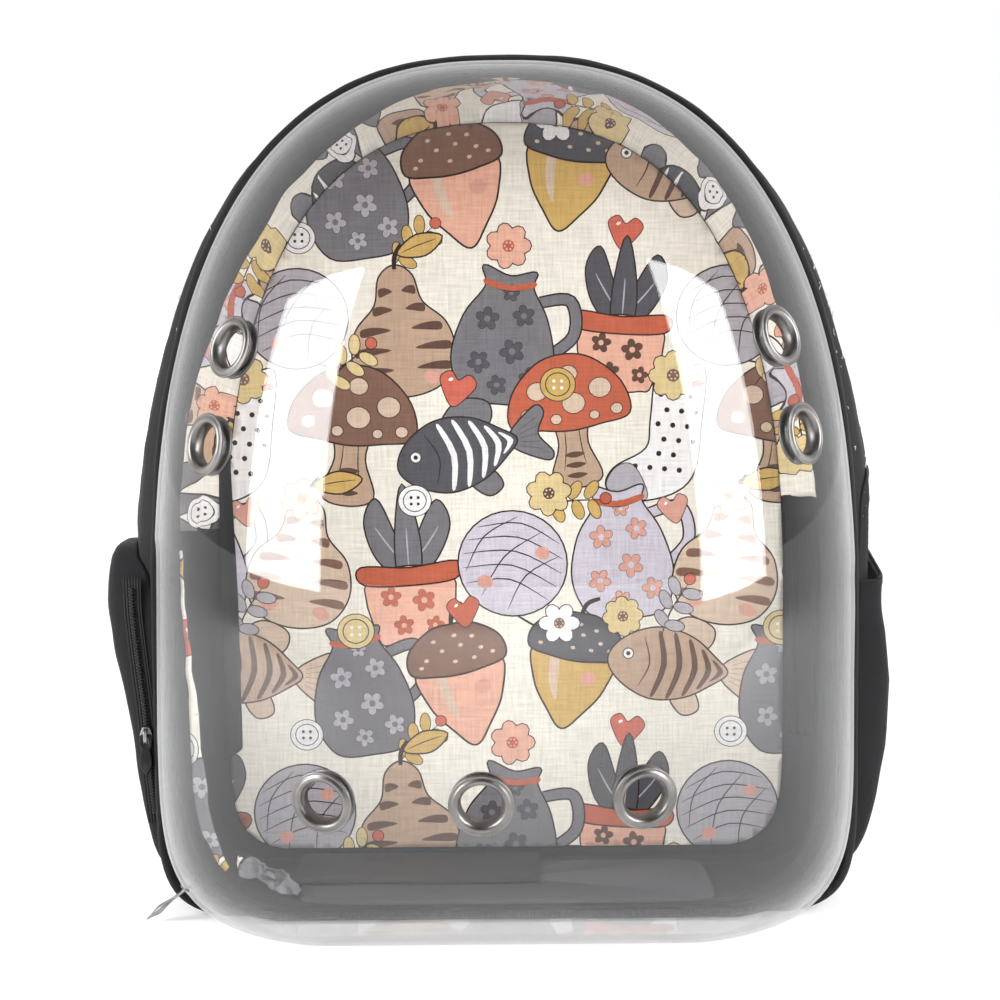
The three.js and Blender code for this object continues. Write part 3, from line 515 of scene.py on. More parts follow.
def fish(body="slate", stripe="white", fin="grey"):
    tail = curved((26, 0), (44, 15), (49, 11), (43, 0), (49, -12), (44, -15))
    shapes = inked(tail, fin)
    for y in (-9, -4.5, 0, 4.5, 9):
        shapes.append((INK, stroke(((33, y * 0.5), (44, y)), 0.55)))
    shapes += inked(curved((-8, 17), (4, 29), (20, 24), (16, 12)), fin)
    shapes += inked(curved((0, -17), (8, -27), (17, -23), (12, -13)), fin)
    shapes += inked(curved((-38, 0), (-30, 13), (-12, 21), (8, 18), (24, 7), (31, 0), (24, -7), (8, -17),
        (-12, -20), (-30, -12)), body)
    for x, reach in ((-10, 18), (-1, 18), (8, 15.5), (16, 11), (23, 6)):
        shapes.append((stripe, curved((x - 1.4, reach), (x + 2.6, 0), (x - 1.4, -reach),
            (x + 1.4, -reach + 1), (x + 6, 0), (x + 1.4, reach - 1), per=3)))
    shapes.append((INK, stroke(((-19, 15), (-14, 0), (-19, -14)), 0.8)))
    shapes += inked(oval(-27, 4, 2.8, count=12), "white", 0.6)
    shapes.append((INK, oval(-27, 4, 1.3, count=8)))
    return shapes


def plant_pot(pot="peach", leaf="slate", bloom="brown"):
    shapes = []
    for points in (
        ((-3, -4), (-17, 10), (-22, 30), (-15, 42), (-7, 24), (0, 2)),
        ((3, -4), (16, 8), (24, 26), (18, 39), (8, 24), (0, 2)),
        ((-5, -4), (-6, 20), (0, 49), (7, 20), (5, -4)),
    ):
        shapes += inked(curved(*points), leaf)
        middle = np.mean(np.array(points), axis=0)
        shapes.append(("silver", stroke(((0, 2), tuple(middle), tuple(middle * 1.55)), 0.9)))
    shapes += inked(curved((-22, 0), (-19, -34), (-12, -38), (0, -39), (12, -38), (19, -34), (22, 0),
        per=4), pot)
    for x, y, size in ((-11, -12, 5.6), (7, -15, 6.2), (-5, -28, 5.4), (12, -29, 4.8)):
        shapes += daisy(x, y, size, bloom, pot, 5, 0.2, y * 0.3)
    shapes += inked(curved((-26, 5), (-25, -4), (0, -6), (25, -4), (26, 5), (0, 3)),
        "rust" if pot == "peach" else "peach")
    return shapes


def sock(body="white", mark=INK, toe="silver"):
    outer = curved((-12, 38), (-13, 8), (-14, -8), (-30, -20), (-33, -31), (-20, -37), (2, -31), (13, -18),
        (14, 8), (13, 38), (0, 36))
    shapes = inked(outer, body)
    for row, y in enumerate((22, 14, 6, -2, -10, -18)):
        for k in range(-1, 3):
            x = -9 + k * 8 + (row % 2) * 4 - (6 if y < -8 else 0)
            if -11.5 < x < 11.5 or (y < -12 and -24 < x < 8):
                shapes.append((mark, oval(x, y, 1.5, count=8)))
    shapes += inked(curved((-30, -20.5), (-33, -31), (-20, -37), (-11, -34.5), (-15, -24), (-22, -17)),
        toe, 0.5)
    for y in (30, 34.5):
        shapes.append(("red" if y == 30 else "blush",
            curved((-12.3, y + 1.8), (0, y + 0.4), (12.4, y + 1.8), (12.4, y - 1.6), (0, y - 2.8),
            (-12.6, y - 1.6), per=3)))
    return shapes


def acorn(nut="tan", cap="cocoa"):
    shapes = [(INK, stroke(((0, 20), (2, 30), (8, 34)), 2.2, 0.8))]
    shapes += inked(curved((-18, 8), (-17, -10), (-8, -24), (0, -32), (8, -24), (17, -10), (18, 8)), nut)
    shapes += [("beige", curved((-11, 2), (-10, -10), (-5, -19), (-6, -6), (-7, 2))),
        ("blush", oval(9, -6, 4, 3.4, 0, 12))]
    shapes += inked(curved((-22, 6), (-21, 16), (-10, 24), (0, 25), (10, 24), (21, 16), (22, 6), (11, 3),
        (0, 2), (-11, 3)), cap)
    for x, y in ((-14, 11), (-6, 14), (3, 15), (12, 12), (-9, 19), (1, 20), (9, 18), (-17, 8), (-1, 8),
            (8, 8), (17, 9)):
        shapes.append(("beige", oval(x, y, 1.2, 0.9, 0, 7)))
    return shapes


def heart(body="red", size=11):
    outer = curved((0, -1.0 * size), (0.75 * size, -0.15 * size), (0.98 * size, 0.48 * size),
        (0.5 * size, 0.85 * size),
                   (0, 0.45 * size), (-0.5 * size, 0.85 * size), (-0.98 * size, 0.48 * size),
                       (-0.75 * size, -0.15 * size))
    shapes = inked(outer, body, 0.6)
    shapes.append(("white", oval(-0.42 * size, 0.42 * size, 0.14 * size, 0.09 * size, 35, 8)))
    return shapes


def button(body="mustard", size=11):
    shapes = inked(oval(0, 0, size, size * 0.94, count=22), body, 0.6)
    shapes.append((INK, oval(0, 0, size * 0.74, size * 0.7, count=20)))
    shapes.append((body, oval(0, 0, size * 0.68, size * 0.64, count=20)))
    for x, y in ((-0.22, 0.2), (0.22, 0.2), (-0.22, -0.2), (0.22, -0.2)):
        shapes.append(("white" if body != "white" else INK, oval(x * size, y * size, size * 0.1, count=8)))
    return shapes


def sprig(leaf="straw", berry="red"):
    shapes = [(INK, stroke(((-14, -10), (-2, 0), (14, 8)), 0.9))]
    for x, y, turn in ((-8, -1, 95), (-1, 7, 85), (7, 11, 80), (-4, -8, -40), (5, -2, -45), (13, 2, -40)):
        shapes += inked(oval(x, y, 5.4, 2.9, turn, 12), leaf, 0.5)
    shapes += inked(oval(16, 10, 3, count=10), berry, 0.5)
    return shapes


def flower_head(petal="straw", core="cocoa", size=13, petals=8):
    shapes = daisy(0, 0, size, petal, core, petals, 0.6)
    for k in range(6):
        shapes.append(("beige", oval(2.0 * math.cos(k * 1.05), 2.0 * math.sin(k * 1.05), 0.6, count=6)))
    return shapes


# One repeat of the print: motif, place, size and turn, later rows over earlier ones.
TILE_WIDTH = 268 * TILE_SCALE
TILE_HEIGHT = 312 * TILE_SCALE
TILE = [
    (lambda: plant_pot("peach", "slate", "brown"), 34, 276, 0.95, -4),
    (lambda: yarn("silver"), 100, 280, 0.92, 8),
    (lambda: pear("tan", "brown"), 165, 272, 0.98, 6),
    (lambda: jug("grey", "slate"), 230, 268, 0.98, -5),
    (lambda: mushroom("rust", "beige", "tan"), 2, 214, 0.95, 7),
    (lambda: sock("white", INK, "silver"), 66, 205, 1.0, -6),
    (lambda: mushroom("cocoa", "beige", "tan"), 133, 206, 1.0, -5),
    (lambda: fish("slate", "white", "grey"), 203, 196, 0.96, 14),
    (lambda: jug("lilac", "blush"), 34, 133, 0.98, 5),
    (lambda: pear("beige", "cocoa"), 100, 128, 1.0, -7),
    (lambda: plant_pot("peach", "grey", "rust"), 168, 120, 1.0, 4),
    (lambda: yarn("lilac"), 233, 126, 0.98, -12),
    (lambda: acorn("mustard", "slate"), 2, 62, 1.12, -10),
    (lambda: fish("tan", "brown", "beige"), 66, 60, 0.95, -8),
    (lambda: jug("grey", "silver"), 138, 46, 0.96, 8),
    (lambda: acorn("peach", "cocoa"), 200, 54, 1.18, 12),
    (lambda: flower_head("straw", "cocoa"), 66, 243, 1.0, 0),
    (lambda: heart("red"), 199, 236, 0.9, -14),
    (lambda: sprig("straw", "red"), 130, 250, 1.0, 10),
    (lambda: button("mustard"), 262, 238, 0.85, 0),
    (lambda: flower_head("peach", "rust", 11, 6), 101, 168, 1.0, 20),
    (lambda: button("white"), 172, 166, 0.8, 0),
    (lambda: sprig("mustard", "rust"), 2, 164, 1.0, -25),
    (lambda: heart("blush"), 66, 160, 0.75, 12),
    (lambda: flower_head("straw", "brown", 12, 7), 256, 170, 1.0, 10),
    (lambda: sprig("silver", "red"), 66, 96, 1.0, 30),
    (lambda: button("straw"), 134, 84, 0.9, 0),
    (lambda: heart("rust"), 202, 96, 0.8, 8),
    (lambda: flower_head("white", "cocoa", 11, 6), 262, 88, 1.0, 0),
    (lambda: flower_head("straw", "cocoa", 12, 8), 34, 92, 0.9, 5),
    (lambda: button("white"), 102, 18, 0.8, 0),
    (lambda: sprig("mustard", "red"), 172, 12, 0.95, 12),
    (lambda: heart("red"), 36, 20, 0.85, -10),
    (lambda: flower_head("peach", "rust", 12, 7), 232, 12, 1.0, 0),
]


def print_layers(low, high, shift):
    """Shapes of the print over a rectangle, from the bottom layer up."""
    layers = []
    motifs = [(make(), x, y, size, turn) for make, x, y, size, turn in TILE]
    reach = MOTIF_REACH
    first_column = math.floor((low[0] - shift[0] - reach) / TILE_WIDTH)
    last_column = math.ceil((high[0] - shift[0] + reach) / TILE_WIDTH)
    first_row = math.floor((low[1] - shift[1] - reach) / TILE_HEIGHT)
    last_row = math.ceil((high[1] - shift[1] + reach) / TILE_HEIGHT)
    for row in range(last_row, first_row - 1, -1):
        for shapes, x, y, size, turn in motifs:
            for column in range(first_column, last_column + 1):
                place = np.array([x * TILE_SCALE + column * TILE_WIDTH,
                    y * TILE_SCALE + row * TILE_HEIGHT])
                centre = place + shift
                if np.any(centre < np.array(low) - reach) or np.any(centre > np.array(high) + reach):
                    continue
                a = math.radians(turn)
                spin = np.array([[math.cos(a), math.sin(a)], [-math.sin(a), math.cos(a)]])
                for colour, polygon in shapes:
                    layers.append((colour, polygon @ spin * size * MOTIF_SCALE + centre))
    return layers


def printed_cloth(name, border, to_space, material, shift=(0, 0), spacing=7.0):
    """One mesh of printed cloth inside a border in the cloth's plane; to_space bends it into place."""
    border = np.asarray(border, float)
    low, high = border.min(axis=0), border.max(axis=0)
    points = [tuple(point) for point in border]
    faces = [tuple(range(len(border)))]
    colours = ["cream"]
    for colour, polygon in print_layers(low, high, shift):
        if np.any(polygon.max(axis=0) < low) or np.any(polygon.min(axis=0) > high):
            continue
        x, y = polygon.T
        if np.sum(x * np.roll(y, -1) - np.roll(x, -1) * y) < 0:
            polygon = polygon[::-1]
        start = len(points)
        points += [tuple(point) for point in polygon]
        faces.append(tuple(range(start, start + len(polygon))))
        colours.append(colour)
    for u in np.arange(low[0] + spacing / 2, high[0], spacing):
        for v in np.arange(low[1] + spacing / 2, high[1], spacing):
            points.append((u, v))
    vertices, _, triangles, _, _, sources = delaunay_2d_cdt(
        [Vector(point) for point in points], [], faces, 1, 1e-4, True)
    flat = np.array([tuple(vertex) for vertex in vertices])
    kept = [(tuple(face), max(source)) for face,
        source in zip(triangles, sources) if source and 0 in source]
    mesh = bpy.data.meshes.new(name)
    mesh.from_pydata([tuple(p) for p in to_world(to_space(flat))], [], [face for face, _ in kept])
    tint = mesh.color_attributes.new(name="print", type="FLOAT_COLOR", domain="CORNER")
    corner_colours = np.ones((len(mesh.loops), 4), np.float32)
    at = 0
    for face, source in kept:
        corner_colours[at:at + len(face), :3] = PRINT_COLOURS[colours[source]]
        at += len(face)
    tint.data.foreach_set("color", corner_colours.ravel())
    set_cloth_uv(mesh, flat * MM)
    mesh.polygons.foreach_set("use_smooth", np.full(len(mesh.polygons), True))
    mesh.materials.append(material)
    return linked(bpy.data.objects.new(name, mesh))


# Materials

class Nodes:
    """Short way to write a material's nodes."""

    def __init__(self, name):
        self.material = bpy.data.materials.new(name)
        self.material.use_nodes = True
        self.tree = self.material.node_tree
        self.shader = self.tree.nodes["Principled BSDF"]

    def add(self, kind, settings=None, **inputs):
        node = self.tree.nodes.new(kind)
        for key, value in (settings or {}).items():
            setattr(node, key, value)
        for key, value in inputs.items():
            self.put(node.inputs[key.replace("_", " ")], value)
        return node

    def put(self, socket, value):
        if hasattr(value, "links"):
            self.tree.links.new(value, socket)
        else:
            socket.default_value = value

    def set(self, **inputs):
        for key, value in inputs.items():
            self.put(self.shader.inputs[key.replace("_", " ")], value)

    def math(self, operation, *values):
        node = self.add("ShaderNodeMath", {"operation": operation})
        for i, value in enumerate(values):
            self.put(node.inputs[i], value)
        return node.outputs[0]

    def ramp(self, value, low, high, start=0.0, end=1.0):
        return self.add(
            "ShaderNodeMapRange", Value=value, From_Min=low, From_Max=high, To_Min=start, To_Max=end,
        ).outputs[0]

    def noise(self, scale, detail=3.0, vector=None, roughness=0.5):
        node = self.add("ShaderNodeTexNoise", Scale=scale, Detail=detail, Roughness=roughness)
        if vector is not None:
            self.put(node.inputs["Vector"], vector)
        return node.outputs["Fac"]

    def mix(self, share, first, second, blend="MIX"):
        node = self.add("ShaderNodeMix", {"data_type": "RGBA", "blend_type": blend})
        self.put(node.inputs["Factor"], share)
        self.put(node.inputs["A"], first)
        self.put(node.inputs["B"], second)
        return node.outputs["Result"]

    def bump(self, height, distance, strength=1.0):
        self.put(self.shader.inputs["Normal"], self.add(
            "ShaderNodeBump", Height=height, Distance=distance, Strength=strength).outputs[0])

    def place(self):
        """The object's own coordinates."""
        return self.add("ShaderNodeTexCoord").outputs["Object"]

    def cloth_place(self):
        """Cloth coordinates in metres, across and along."""
        node = self.add("ShaderNodeUVMap", {"uv_map": "cloth"})
        split = self.add("ShaderNodeSeparateXYZ", Vector=node.outputs[0])
        return node.outputs[0], split.outputs[0], split.outputs[1]


def grey(value):
    return (value, value, value, 1)


def colour(red, green, blue):
    return (red, green, blue, 1)


def times(base, factor):
    """A colour made darker or lighter."""
    return tuple(min(part * factor, 1) for part in base[:3]) + (1,)


def waves(n, place, pitch):
    """0 to 1 over one pitch of threads."""
    return n.math("MULTIPLY_ADD", n.math("SINE", n.math("MULTIPLY", place, 2 * math.pi / pitch)), 0.5, 0.5)


def woven(name, base, pitch=0.0009, relief=0.00015, roughness=0.8, sheen=0.25, vary=0.3, wrinkle=0.0):
    """Plain weave: warp and weft threads pass over each other, with uneven dye, a little fuzz and painted
    shade where the threads dip.
    """
    n = Nodes(name)
    place, across, along = n.cloth_place()
    warp = waves(n, across, pitch)
    weft = waves(n, along, pitch)
    over = n.math("ABSOLUTE", n.math("SUBTRACT", warp, weft))
    cloudy = n.noise(14, 4, place)
    thread = n.noise(900, 2, place)
    # The weave's relief, over, lightens the crests and darkens the dips: painted shade; the fine thread
    # noise is fuzz and the clouds are uneven dye.
    shade = n.math("MULTIPLY_ADD", over, vary * 0.6, n.math("MULTIPLY", thread, vary))
    body = n.mix(n.ramp(n.math("MULTIPLY_ADD", cloudy, 0.4, shade), 0.1, 0.9), times(base, 0.55),
        times(base, 1.55))
    height = over
    if wrinkle:
        height = n.math("MULTIPLY_ADD", n.noise(55, 4, place), wrinkle, over)
    n.set(Base_Color=body, Roughness=roughness)
    n.set(Sheen_Weight=sheen, Sheen_Roughness=0.5, Sheen_Tint=grey(0.6), Specular_IOR_Level=0.25)
    n.bump(height, relief)
    return n.material


def ribbed(name, base, pitch=0.0016, relief=0.0003, roughness=0.62, along_ribs=False, sheen=0.15):
    """Woven tape: ribs one way and fine threads the other."""
    n = Nodes(name)
    place, across, along = n.cloth_place()
    ribs = waves(n, along if along_ribs else across, pitch)
    threads = waves(n, across if along_ribs else along, pitch * 0.45)
    height = n.math("MULTIPLY_ADD", threads, 0.3, ribs)
    tone_value = n.noise(700, 2, place)
    # Colour lighter on the ribs and darker in the grooves, following the relief: painted shade, mixed with
    # random flecks.
    shade = n.ramp(n.math("MULTIPLY_ADD", tone_value, 0.5, n.math("MULTIPLY", height, 0.5)), 0.1, 1.0)
    n.set(Base_Color=n.mix(shade, times(base, 0.5), times(base, 1.7)))
    n.set(Roughness=roughness, Sheen_Weight=sheen, Sheen_Roughness=0.4, Specular_IOR_Level=0.3)
    n.bump(height, relief)
    return n.material


def printed():
    """Cotton print: the shapes' own colours, thread by thread, with uneven yarn and painted shade in the
    weave's dips.
    """
    n = Nodes("printed_cotton")
    place, across, along = n.cloth_place()
    tint = n.add("ShaderNodeVertexColor", {"layer_name": "print"}).outputs["Color"]
    pitch = 0.0011
    warp = waves(n, across, pitch)
    weft = waves(n, along, pitch)
    over = n.math("ABSOLUTE", n.math("SUBTRACT", warp, weft))
    slub = n.add("ShaderNodeMapping", Vector=place, Scale=(900, 60, 1)).outputs[0]
    slub_along = n.add("ShaderNodeMapping", Vector=place, Scale=(60, 900, 1)).outputs[0]
    streak = n.math("ADD", n.noise(1, 2, slub), n.noise(1, 2, slub_along))
    # Slub streaks are uneven yarn; the weave's relief, over, adds painted shade, darker in its dips and
    # lighter on its crests.
    tone_value = n.math("MULTIPLY_ADD", over, 0.3, streak)
    slubs_and_weave_shade = n.mix(n.ramp(tone_value, 0.6, 1.45), grey(0.72), grey(1.12))
    n.set(Base_Color=n.mix(1.0, tint, slubs_and_weave_shade, "MULTIPLY"), Roughness=0.85)
    n.set(Sheen_Weight=0.05, Sheen_Roughness=0.5, Specular_IOR_Level=0.2)
    n.bump(n.math("MULTIPLY_ADD", streak, 0.6, over), 0.00012)
    return n.material


def clear_plastic():
    """Thin clear sheet: straight through head on, mirror-like at a slant, faintly smoky."""
    n = Nodes("clear_dome")
    facing = n.add("ShaderNodeLayerWeight", Blend=0.5).outputs["Facing"]
    slant = n.math("MULTIPLY_ADD", n.math("POWER", facing, 5.0), 0.96, 0.04)
    gloss = n.add("ShaderNodeBsdfGlossy", Color=grey(0.84), Roughness=0.02)
    sight = n.add("ShaderNodeBsdfTransparent", Color=colour(0.965, 0.968, 0.972))
    both = n.add("ShaderNodeMixShader")
    n.put(both.inputs[0], slant)
    n.put(both.inputs[1], sight.outputs[0])
    n.put(both.inputs[2], gloss.outputs[0])
    n.tree.nodes.remove(n.shader)
    n.put(n.tree.nodes["Material Output"].inputs["Surface"], both.outputs[0])
    return n.material


def metal(name, base, roughness, scratch=0.08):
    n = Nodes(name)
    place = n.place()
    marks = n.noise(900, 5, place, 0.7)
    cloud = n.noise(120, 3, place)
    n.set(Base_Color=n.mix(n.ramp(cloud, 0.35, 0.65), times(base, 0.72), base), Metallic=1.0)
    n.set(Roughness=n.ramp(marks, 0.3, 0.7, roughness - scratch / 2, roughness + scratch))
    n.bump(marks, 0.00003)
    return n.material


def moulded(name, base, roughness=0.42):
    n = Nodes(name)
    place = n.place()
    grain = n.noise(2600, 3, place)
    cloud = n.noise(60, 3, place)
    n.set(Base_Color=n.mix(cloud, base, times(base, 1.5)))
    n.set(Roughness=n.ramp(grain, 0.3, 0.7, roughness - 0.06, roughness + 0.1))
    n.bump(grain, 0.00004)
    return n.material


CLEAR = clear_plastic()
PRINT = printed()
NICKEL = metal("dark_nickel", colour(0.24, 0.23, 0.222), 0.34)
STEEL = metal("zip_steel", colour(0.33, 0.33, 0.335), 0.34)
DARK_STEEL = metal("dark_steel", colour(0.035, 0.035, 0.037), 0.4)
LINT = moulded("lint", colour(0.42, 0.42, 0.42), 0.8)
CANVAS = woven("black_nylon", colour(0.0055, 0.0055, 0.0065), 0.0011, 0.0002, 0.62, 0.05, 0.5, 1.2)
LINING = woven("lining_cloth", colour(0.0085, 0.0085, 0.0105), 0.0007, 0.0001, 0.5, 0.06, 0.3, 0.8)
MAT_CLOTH = woven("mat_cloth", colour(0.045, 0.045, 0.052), 0.0014, 0.0002, 0.8, 0.1, 0.5, 1.0)
TAPE = ribbed("black_tape", colour(0.0048, 0.0048, 0.0055), 0.0014, sheen=0.03)
WEBBING = ribbed("black_webbing", colour(0.0065, 0.0065, 0.0075), 0.0022, 0.0005, 0.5, True, 0.05)
TEETH = moulded("zip_teeth", colour(0.006, 0.006, 0.0065), 0.35)
NET = moulded("net_strand", colour(0.016, 0.016, 0.018), 0.6)
PAD_CLOTH = woven("pad_cloth", colour(0.0085, 0.0085, 0.0095), 0.0024, 0.0004, 0.8, 0.08, 0.6, 0.5)
BUCKLE = moulded("black_plastic", colour(0.008, 0.008, 0.009), 0.38)


def keep(piece, body, slot, *nodes):
    """Ties a piece to its body and hides the nodes it stands for; its finish, slot, is not used."""
    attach(piece, body)
    if nodes:
        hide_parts(*nodes)
    return piece


def bag(piece, slot, *nodes):
    return keep(piece, "bag", slot, *nodes)


def smoothed(xs, ys, spread=0.03):
    """A table's values as a smooth curve."""
    fine = np.linspace(0, 1, 401)
    values = np.interp(fine, xs, ys)
    reach = int(spread * 400)
    weights = np.hanning(2 * reach + 3)[1:-1]
    padded = np.concatenate([
        2 * values[0] - values[1:reach + 1][::-1], values, 2 * values[-1] - values[-reach - 1:-1][::-1],
    ])
    return lambda place: float(np.interp(place, fine,
        np.convolve(padded, weights / weights.sum(), "valid")))


# Dome

def dome_loops(inset, rows=64, columns=240):
    """Loops from near the rim plane to the nose, closer together beside the rim."""
    angles = np.radians(np.concatenate([np.linspace(0, 12, 9)[:-1], np.linspace(12, 89.4, rows)]))
    loops = []
    for angle in angles:
        share = math.sin(angle) ** (2 / DOME_SIDE_POWER)
        loops.append(at_depth(outline(dome_shape(share, inset), columns), -share * (DOME_DEPTH - inset)))
    return loops


def dome_share_at(x, z):
    """Share of the dome's depth at which its side stands at x, found by halving."""
    low, high = 0.0, 1.0
    for _ in range(40):
        middle = (low + high) / 2
        if abs(x) < side_at(dome_shape(middle, 0), z):
            low = middle
        else:
            high = middle
    return low


def dome_point(x, z):
    return Vector((x, -dome_share_at(x, z) * DOME_DEPTH, z))


def dome_normal(x, z):
    step = 2
    across = dome_point(x + step, z) - dome_point(x - step, z)
    up = dome_point(x, z + step) - dome_point(x, z - step)
    return across.cross(up).normalized()


# Each vent's place as seen from the front, as shares of the rim's half width and height
VENTS = {
    "vent_front_left": (-0.466, 0.221),
    "vent_front_middle": (-0.063, 0.2235),
    "vent_front_right": (0.347, 0.2265),
    "vent_side_left_upper": (-0.708, 0.682),
    "vent_side_left_lower": (-0.776, 0.58),
    "vent_side_right_upper": (0.724, 0.689),
    "vent_side_right_lower": (0.786, 0.586),
}


def vent_frame(across, up):
    """Matrix from a vent's own frame, Z along the dome's normal, to own millimetres."""
    x, z = across * RIM_HALF_WIDTH, up * RIM_HEIGHT
    turn = Vector((0, 0, 1)).rotation_difference(dome_normal(x, z)).to_matrix().to_4x4()
    return Matrix.Translation(dome_point(x, z)) @ turn


def turned(profile, matrix, segments=56):
    """Loops of a profile (radius, height) turned about a frame's Z axis."""
    angles = 2 * np.pi * np.arange(segments) / segments
    loops = []
    for radius, height in profile:
        points = np.stack([radius * np.cos(angles), radius * np.sin(angles), np.full(segments, height)],
            axis=1)
        loops.append(points @ np.array(matrix.to_3x3()).T + np.array(matrix.translation))
    return np.array(loops)


def cut_by(piece, cutters):
    """Takes the cutters out of a piece and removes them."""
    for cutter in cutters:
        modifier = piece.modifiers.new("cut", "BOOLEAN")
        modifier.operation = "DIFFERENCE"
        modifier.solver = "EXACT"
        modifier.object = cutter
    apply_modifiers(piece)
    for cutter in cutters:
        bpy.data.objects.remove(cutter)


def apply_modifiers(piece):
    bpy.context.view_layer.update()
    graph = bpy.context.evaluated_depsgraph_get()
    mesh = bpy.data.meshes.new_from_object(piece.evaluated_get(graph), preserve_all_data_layers=True,
        depsgraph=graph)
    piece.modifiers.clear()
    piece.data = mesh


VENT_HOLE = 11.3
VENT_HOLE_REACH = 12
VENT_HOLE_SIDES = 48
dome = loft("dome", np.array(dome_loops(0)[::-1] + dome_loops(DOME_WALL)), CLEAR)
hole_cutters = [
    loft(f"cutter_{name}", turned(
        [(VENT_HOLE, -VENT_HOLE_REACH), (VENT_HOLE, VENT_HOLE_REACH)], vent_frame(*place),
            VENT_HOLE_SIDES), None)
    for name, place in VENTS.items()
]
cut_by(dome, hole_cutters)
bag(dome, "clear_plastic", "bubble_shell")

# Section of a ring as (radius, height): inner flange, tube, rolled bead
VENT_PROFILE = [
    (8.9, -4.5), (9.1, -4.6), (13.2, -4.6), (13.4, -4.45), (13.4, -3.5), (13.2, -3.35), (10.6, -3.35),
        (10.5, -3.2),
    (10.5, 0.1), (10.6, 0.2), (13.75, 0.2), (14.05, 0.35), (14.1, 0.75), (13.95, 1.15), (13.65, 1.35),
        (13.3, 1.3),
    (13.05, 1.15), (12.75, 1.25), (12.35, 1.75), (11.8, 2.1), (11.2, 2.2), (10.6, 2.05), (10.05, 1.65),
        (9.6, 1.0),
    (9.25, 0.3), (9.0, -0.6), (8.9, -1.6),
]
for name, place in VENTS.items():
    ring = loft(f"ring_{name}", turned(VENT_PROFILE, vent_frame(*place)), NICKEL, closed=True)
    bag(ring, "vent_metal", name)


# Zip round the rim

COLUMNS = 320


def around(shape, depth, columns=COLUMNS):
    return at_depth(outline(shape, columns), depth)


# Section of the tape as (outward, depth)
TAPE_SECTION = ((-TAPE_THICKNESS, 0.4), (-0.2, 0.4), (0, 0.7), (0, 3.2), (0, 6), (0, 8.8), (0, 11.7),
    (-0.2, TAPE_WIDTH),
                (-TAPE_THICKNESS, TAPE_WIDTH))
zip_tape = loft(
    "zip_tape", np.array([around(rim_shape(out), depth) for out, depth in TAPE_SECTION]), TAPE,
        closed=True)
bag(zip_tape, "black_tape", "main_zip_tape")


# One bar of the coil as (share across, share of height)
TOOTH_PROFILE = np.array([(-0.5, 0.1), (-0.42, 0.75), (-0.1, 1.0), (0.14, 0.8), (0.2, 0.35)])


def teeth(name, centres, outwards, across, width, height, bar):
    """Coil zip: bent bars from both tapes meet in turn along the middle.

    centres and outwards are (n, 3) along the zip; across is the direction from tape to tape.
    """
    across = np.broadcast_to(np.asarray(across, float), centres.shape)
    sides = 6
    faces = []
    points = []
    profile = TOOTH_PROFILE
    ring_angles = 2 * np.pi * np.arange(sides) / sides
    forward = np.gradient(centres, axis=0)
    forward /= np.linalg.norm(forward, axis=1, keepdims=True)
    for index in range(len(centres)):
        flip = 1 if index % 2 == 0 else -1
        base = len(points)
        for share, rise in profile:
            middle = centres[index] + across[index] * share * width * flip + outwards[index] * rise * height
            for angle in ring_angles:
                points.append(
                    middle + forward[index] * bar * math.cos(angle)
                    + outwards[index] * bar * math.sin(angle)
                )
        body = tube_faces(len(profile), sides, base)
        if flip < 0:
            body = [tuple(reversed(face)) for face in body]
        faces += body
    return new_object(name, to_world(np.array(points)), faces, TEETH)


COIL_STAND = 0.35
COIL_BARS = 1400
COIL_SIZE = {"width": 5, "height": 1.25, "bar": 0.4}
rim_line = outline(rim_shape(COIL_STAND), COIL_BARS)
coil = teeth("zip_coil", at_depth(rim_line, TAPE_WIDTH / 2), outward_normals(rim_line), (0, 1, 0),
    **COIL_SIZE)
bag(coil, "black_tape", "main_zip_coil")


# Tray

swell_along = smoothed(TRAY_ALONG, TRAY_SWELLS, 0.04)
tuck_along = smoothed(TRAY_ALONG, TRAY_TUCKS, 0.02)


def soft_tray_shape(along, inset):
    shape = tray_shape(along, inset)
    swell = max(swell_along(along), 0) * TRAY_SWELL
    tuck = min(max(tuck_along(along), 0), 1)
    shape["swell"] = swell
    shape["side"] = RIM_HALF_WIDTH - tuck * BACK_TUCK - inset
    shape["top"] = RIM_HEIGHT + swell * TOP_SWELL_SHARE - tuck * BACK_TUCK - inset
    lift = (PIPING_FLAT + 0.4) * min(max((0.1 - along) / 0.03, 0), 1)
    shape["foot"] = tuck * BACK_FOOT_RISE + max(lift, inset)
    return shape


def tray_rows(inset, rows):
    """Loops along the tray, closer together beside the rim and at the back's edge."""
    shares = np.concatenate([np.linspace(0, 0.12, 8)[:-1], np.linspace(0.12, 0.9, rows),
        np.linspace(0.9, 1, 10)[1:]])
    return [around(soft_tray_shape(along, inset),
        TRAY_FRONT + along * (TRAY_LENGTH - inset)) for along in shares]


def back_disc(shape, depth, rings=14):
    """Loops from an outline in to its middle, to fill the back."""
    line = outline(shape, COLUMNS)
    middle = np.array([0, BAG_MIDDLE])
    return [at_depth(middle + (line - middle) * share, depth) for share in np.linspace(1, 0.03, rings)[1:]]


def crumpled(loops, swell, pitch=0.035):
    """Moves every point of outline loops in or out a little, like soft cloth."""
    result = []
    for loop in loops:
        away = outward_normals(loop[:, (0, 2)])
        lift = noise_over(*(loop * pitch).T) + 0.5 * noise_over(*(loop * pitch * 3).T)
        lift *= np.clip(loop[:, 2] / 30, 0, 1)
        result.append(loop + away * (lift * swell)[:, None])
    return result


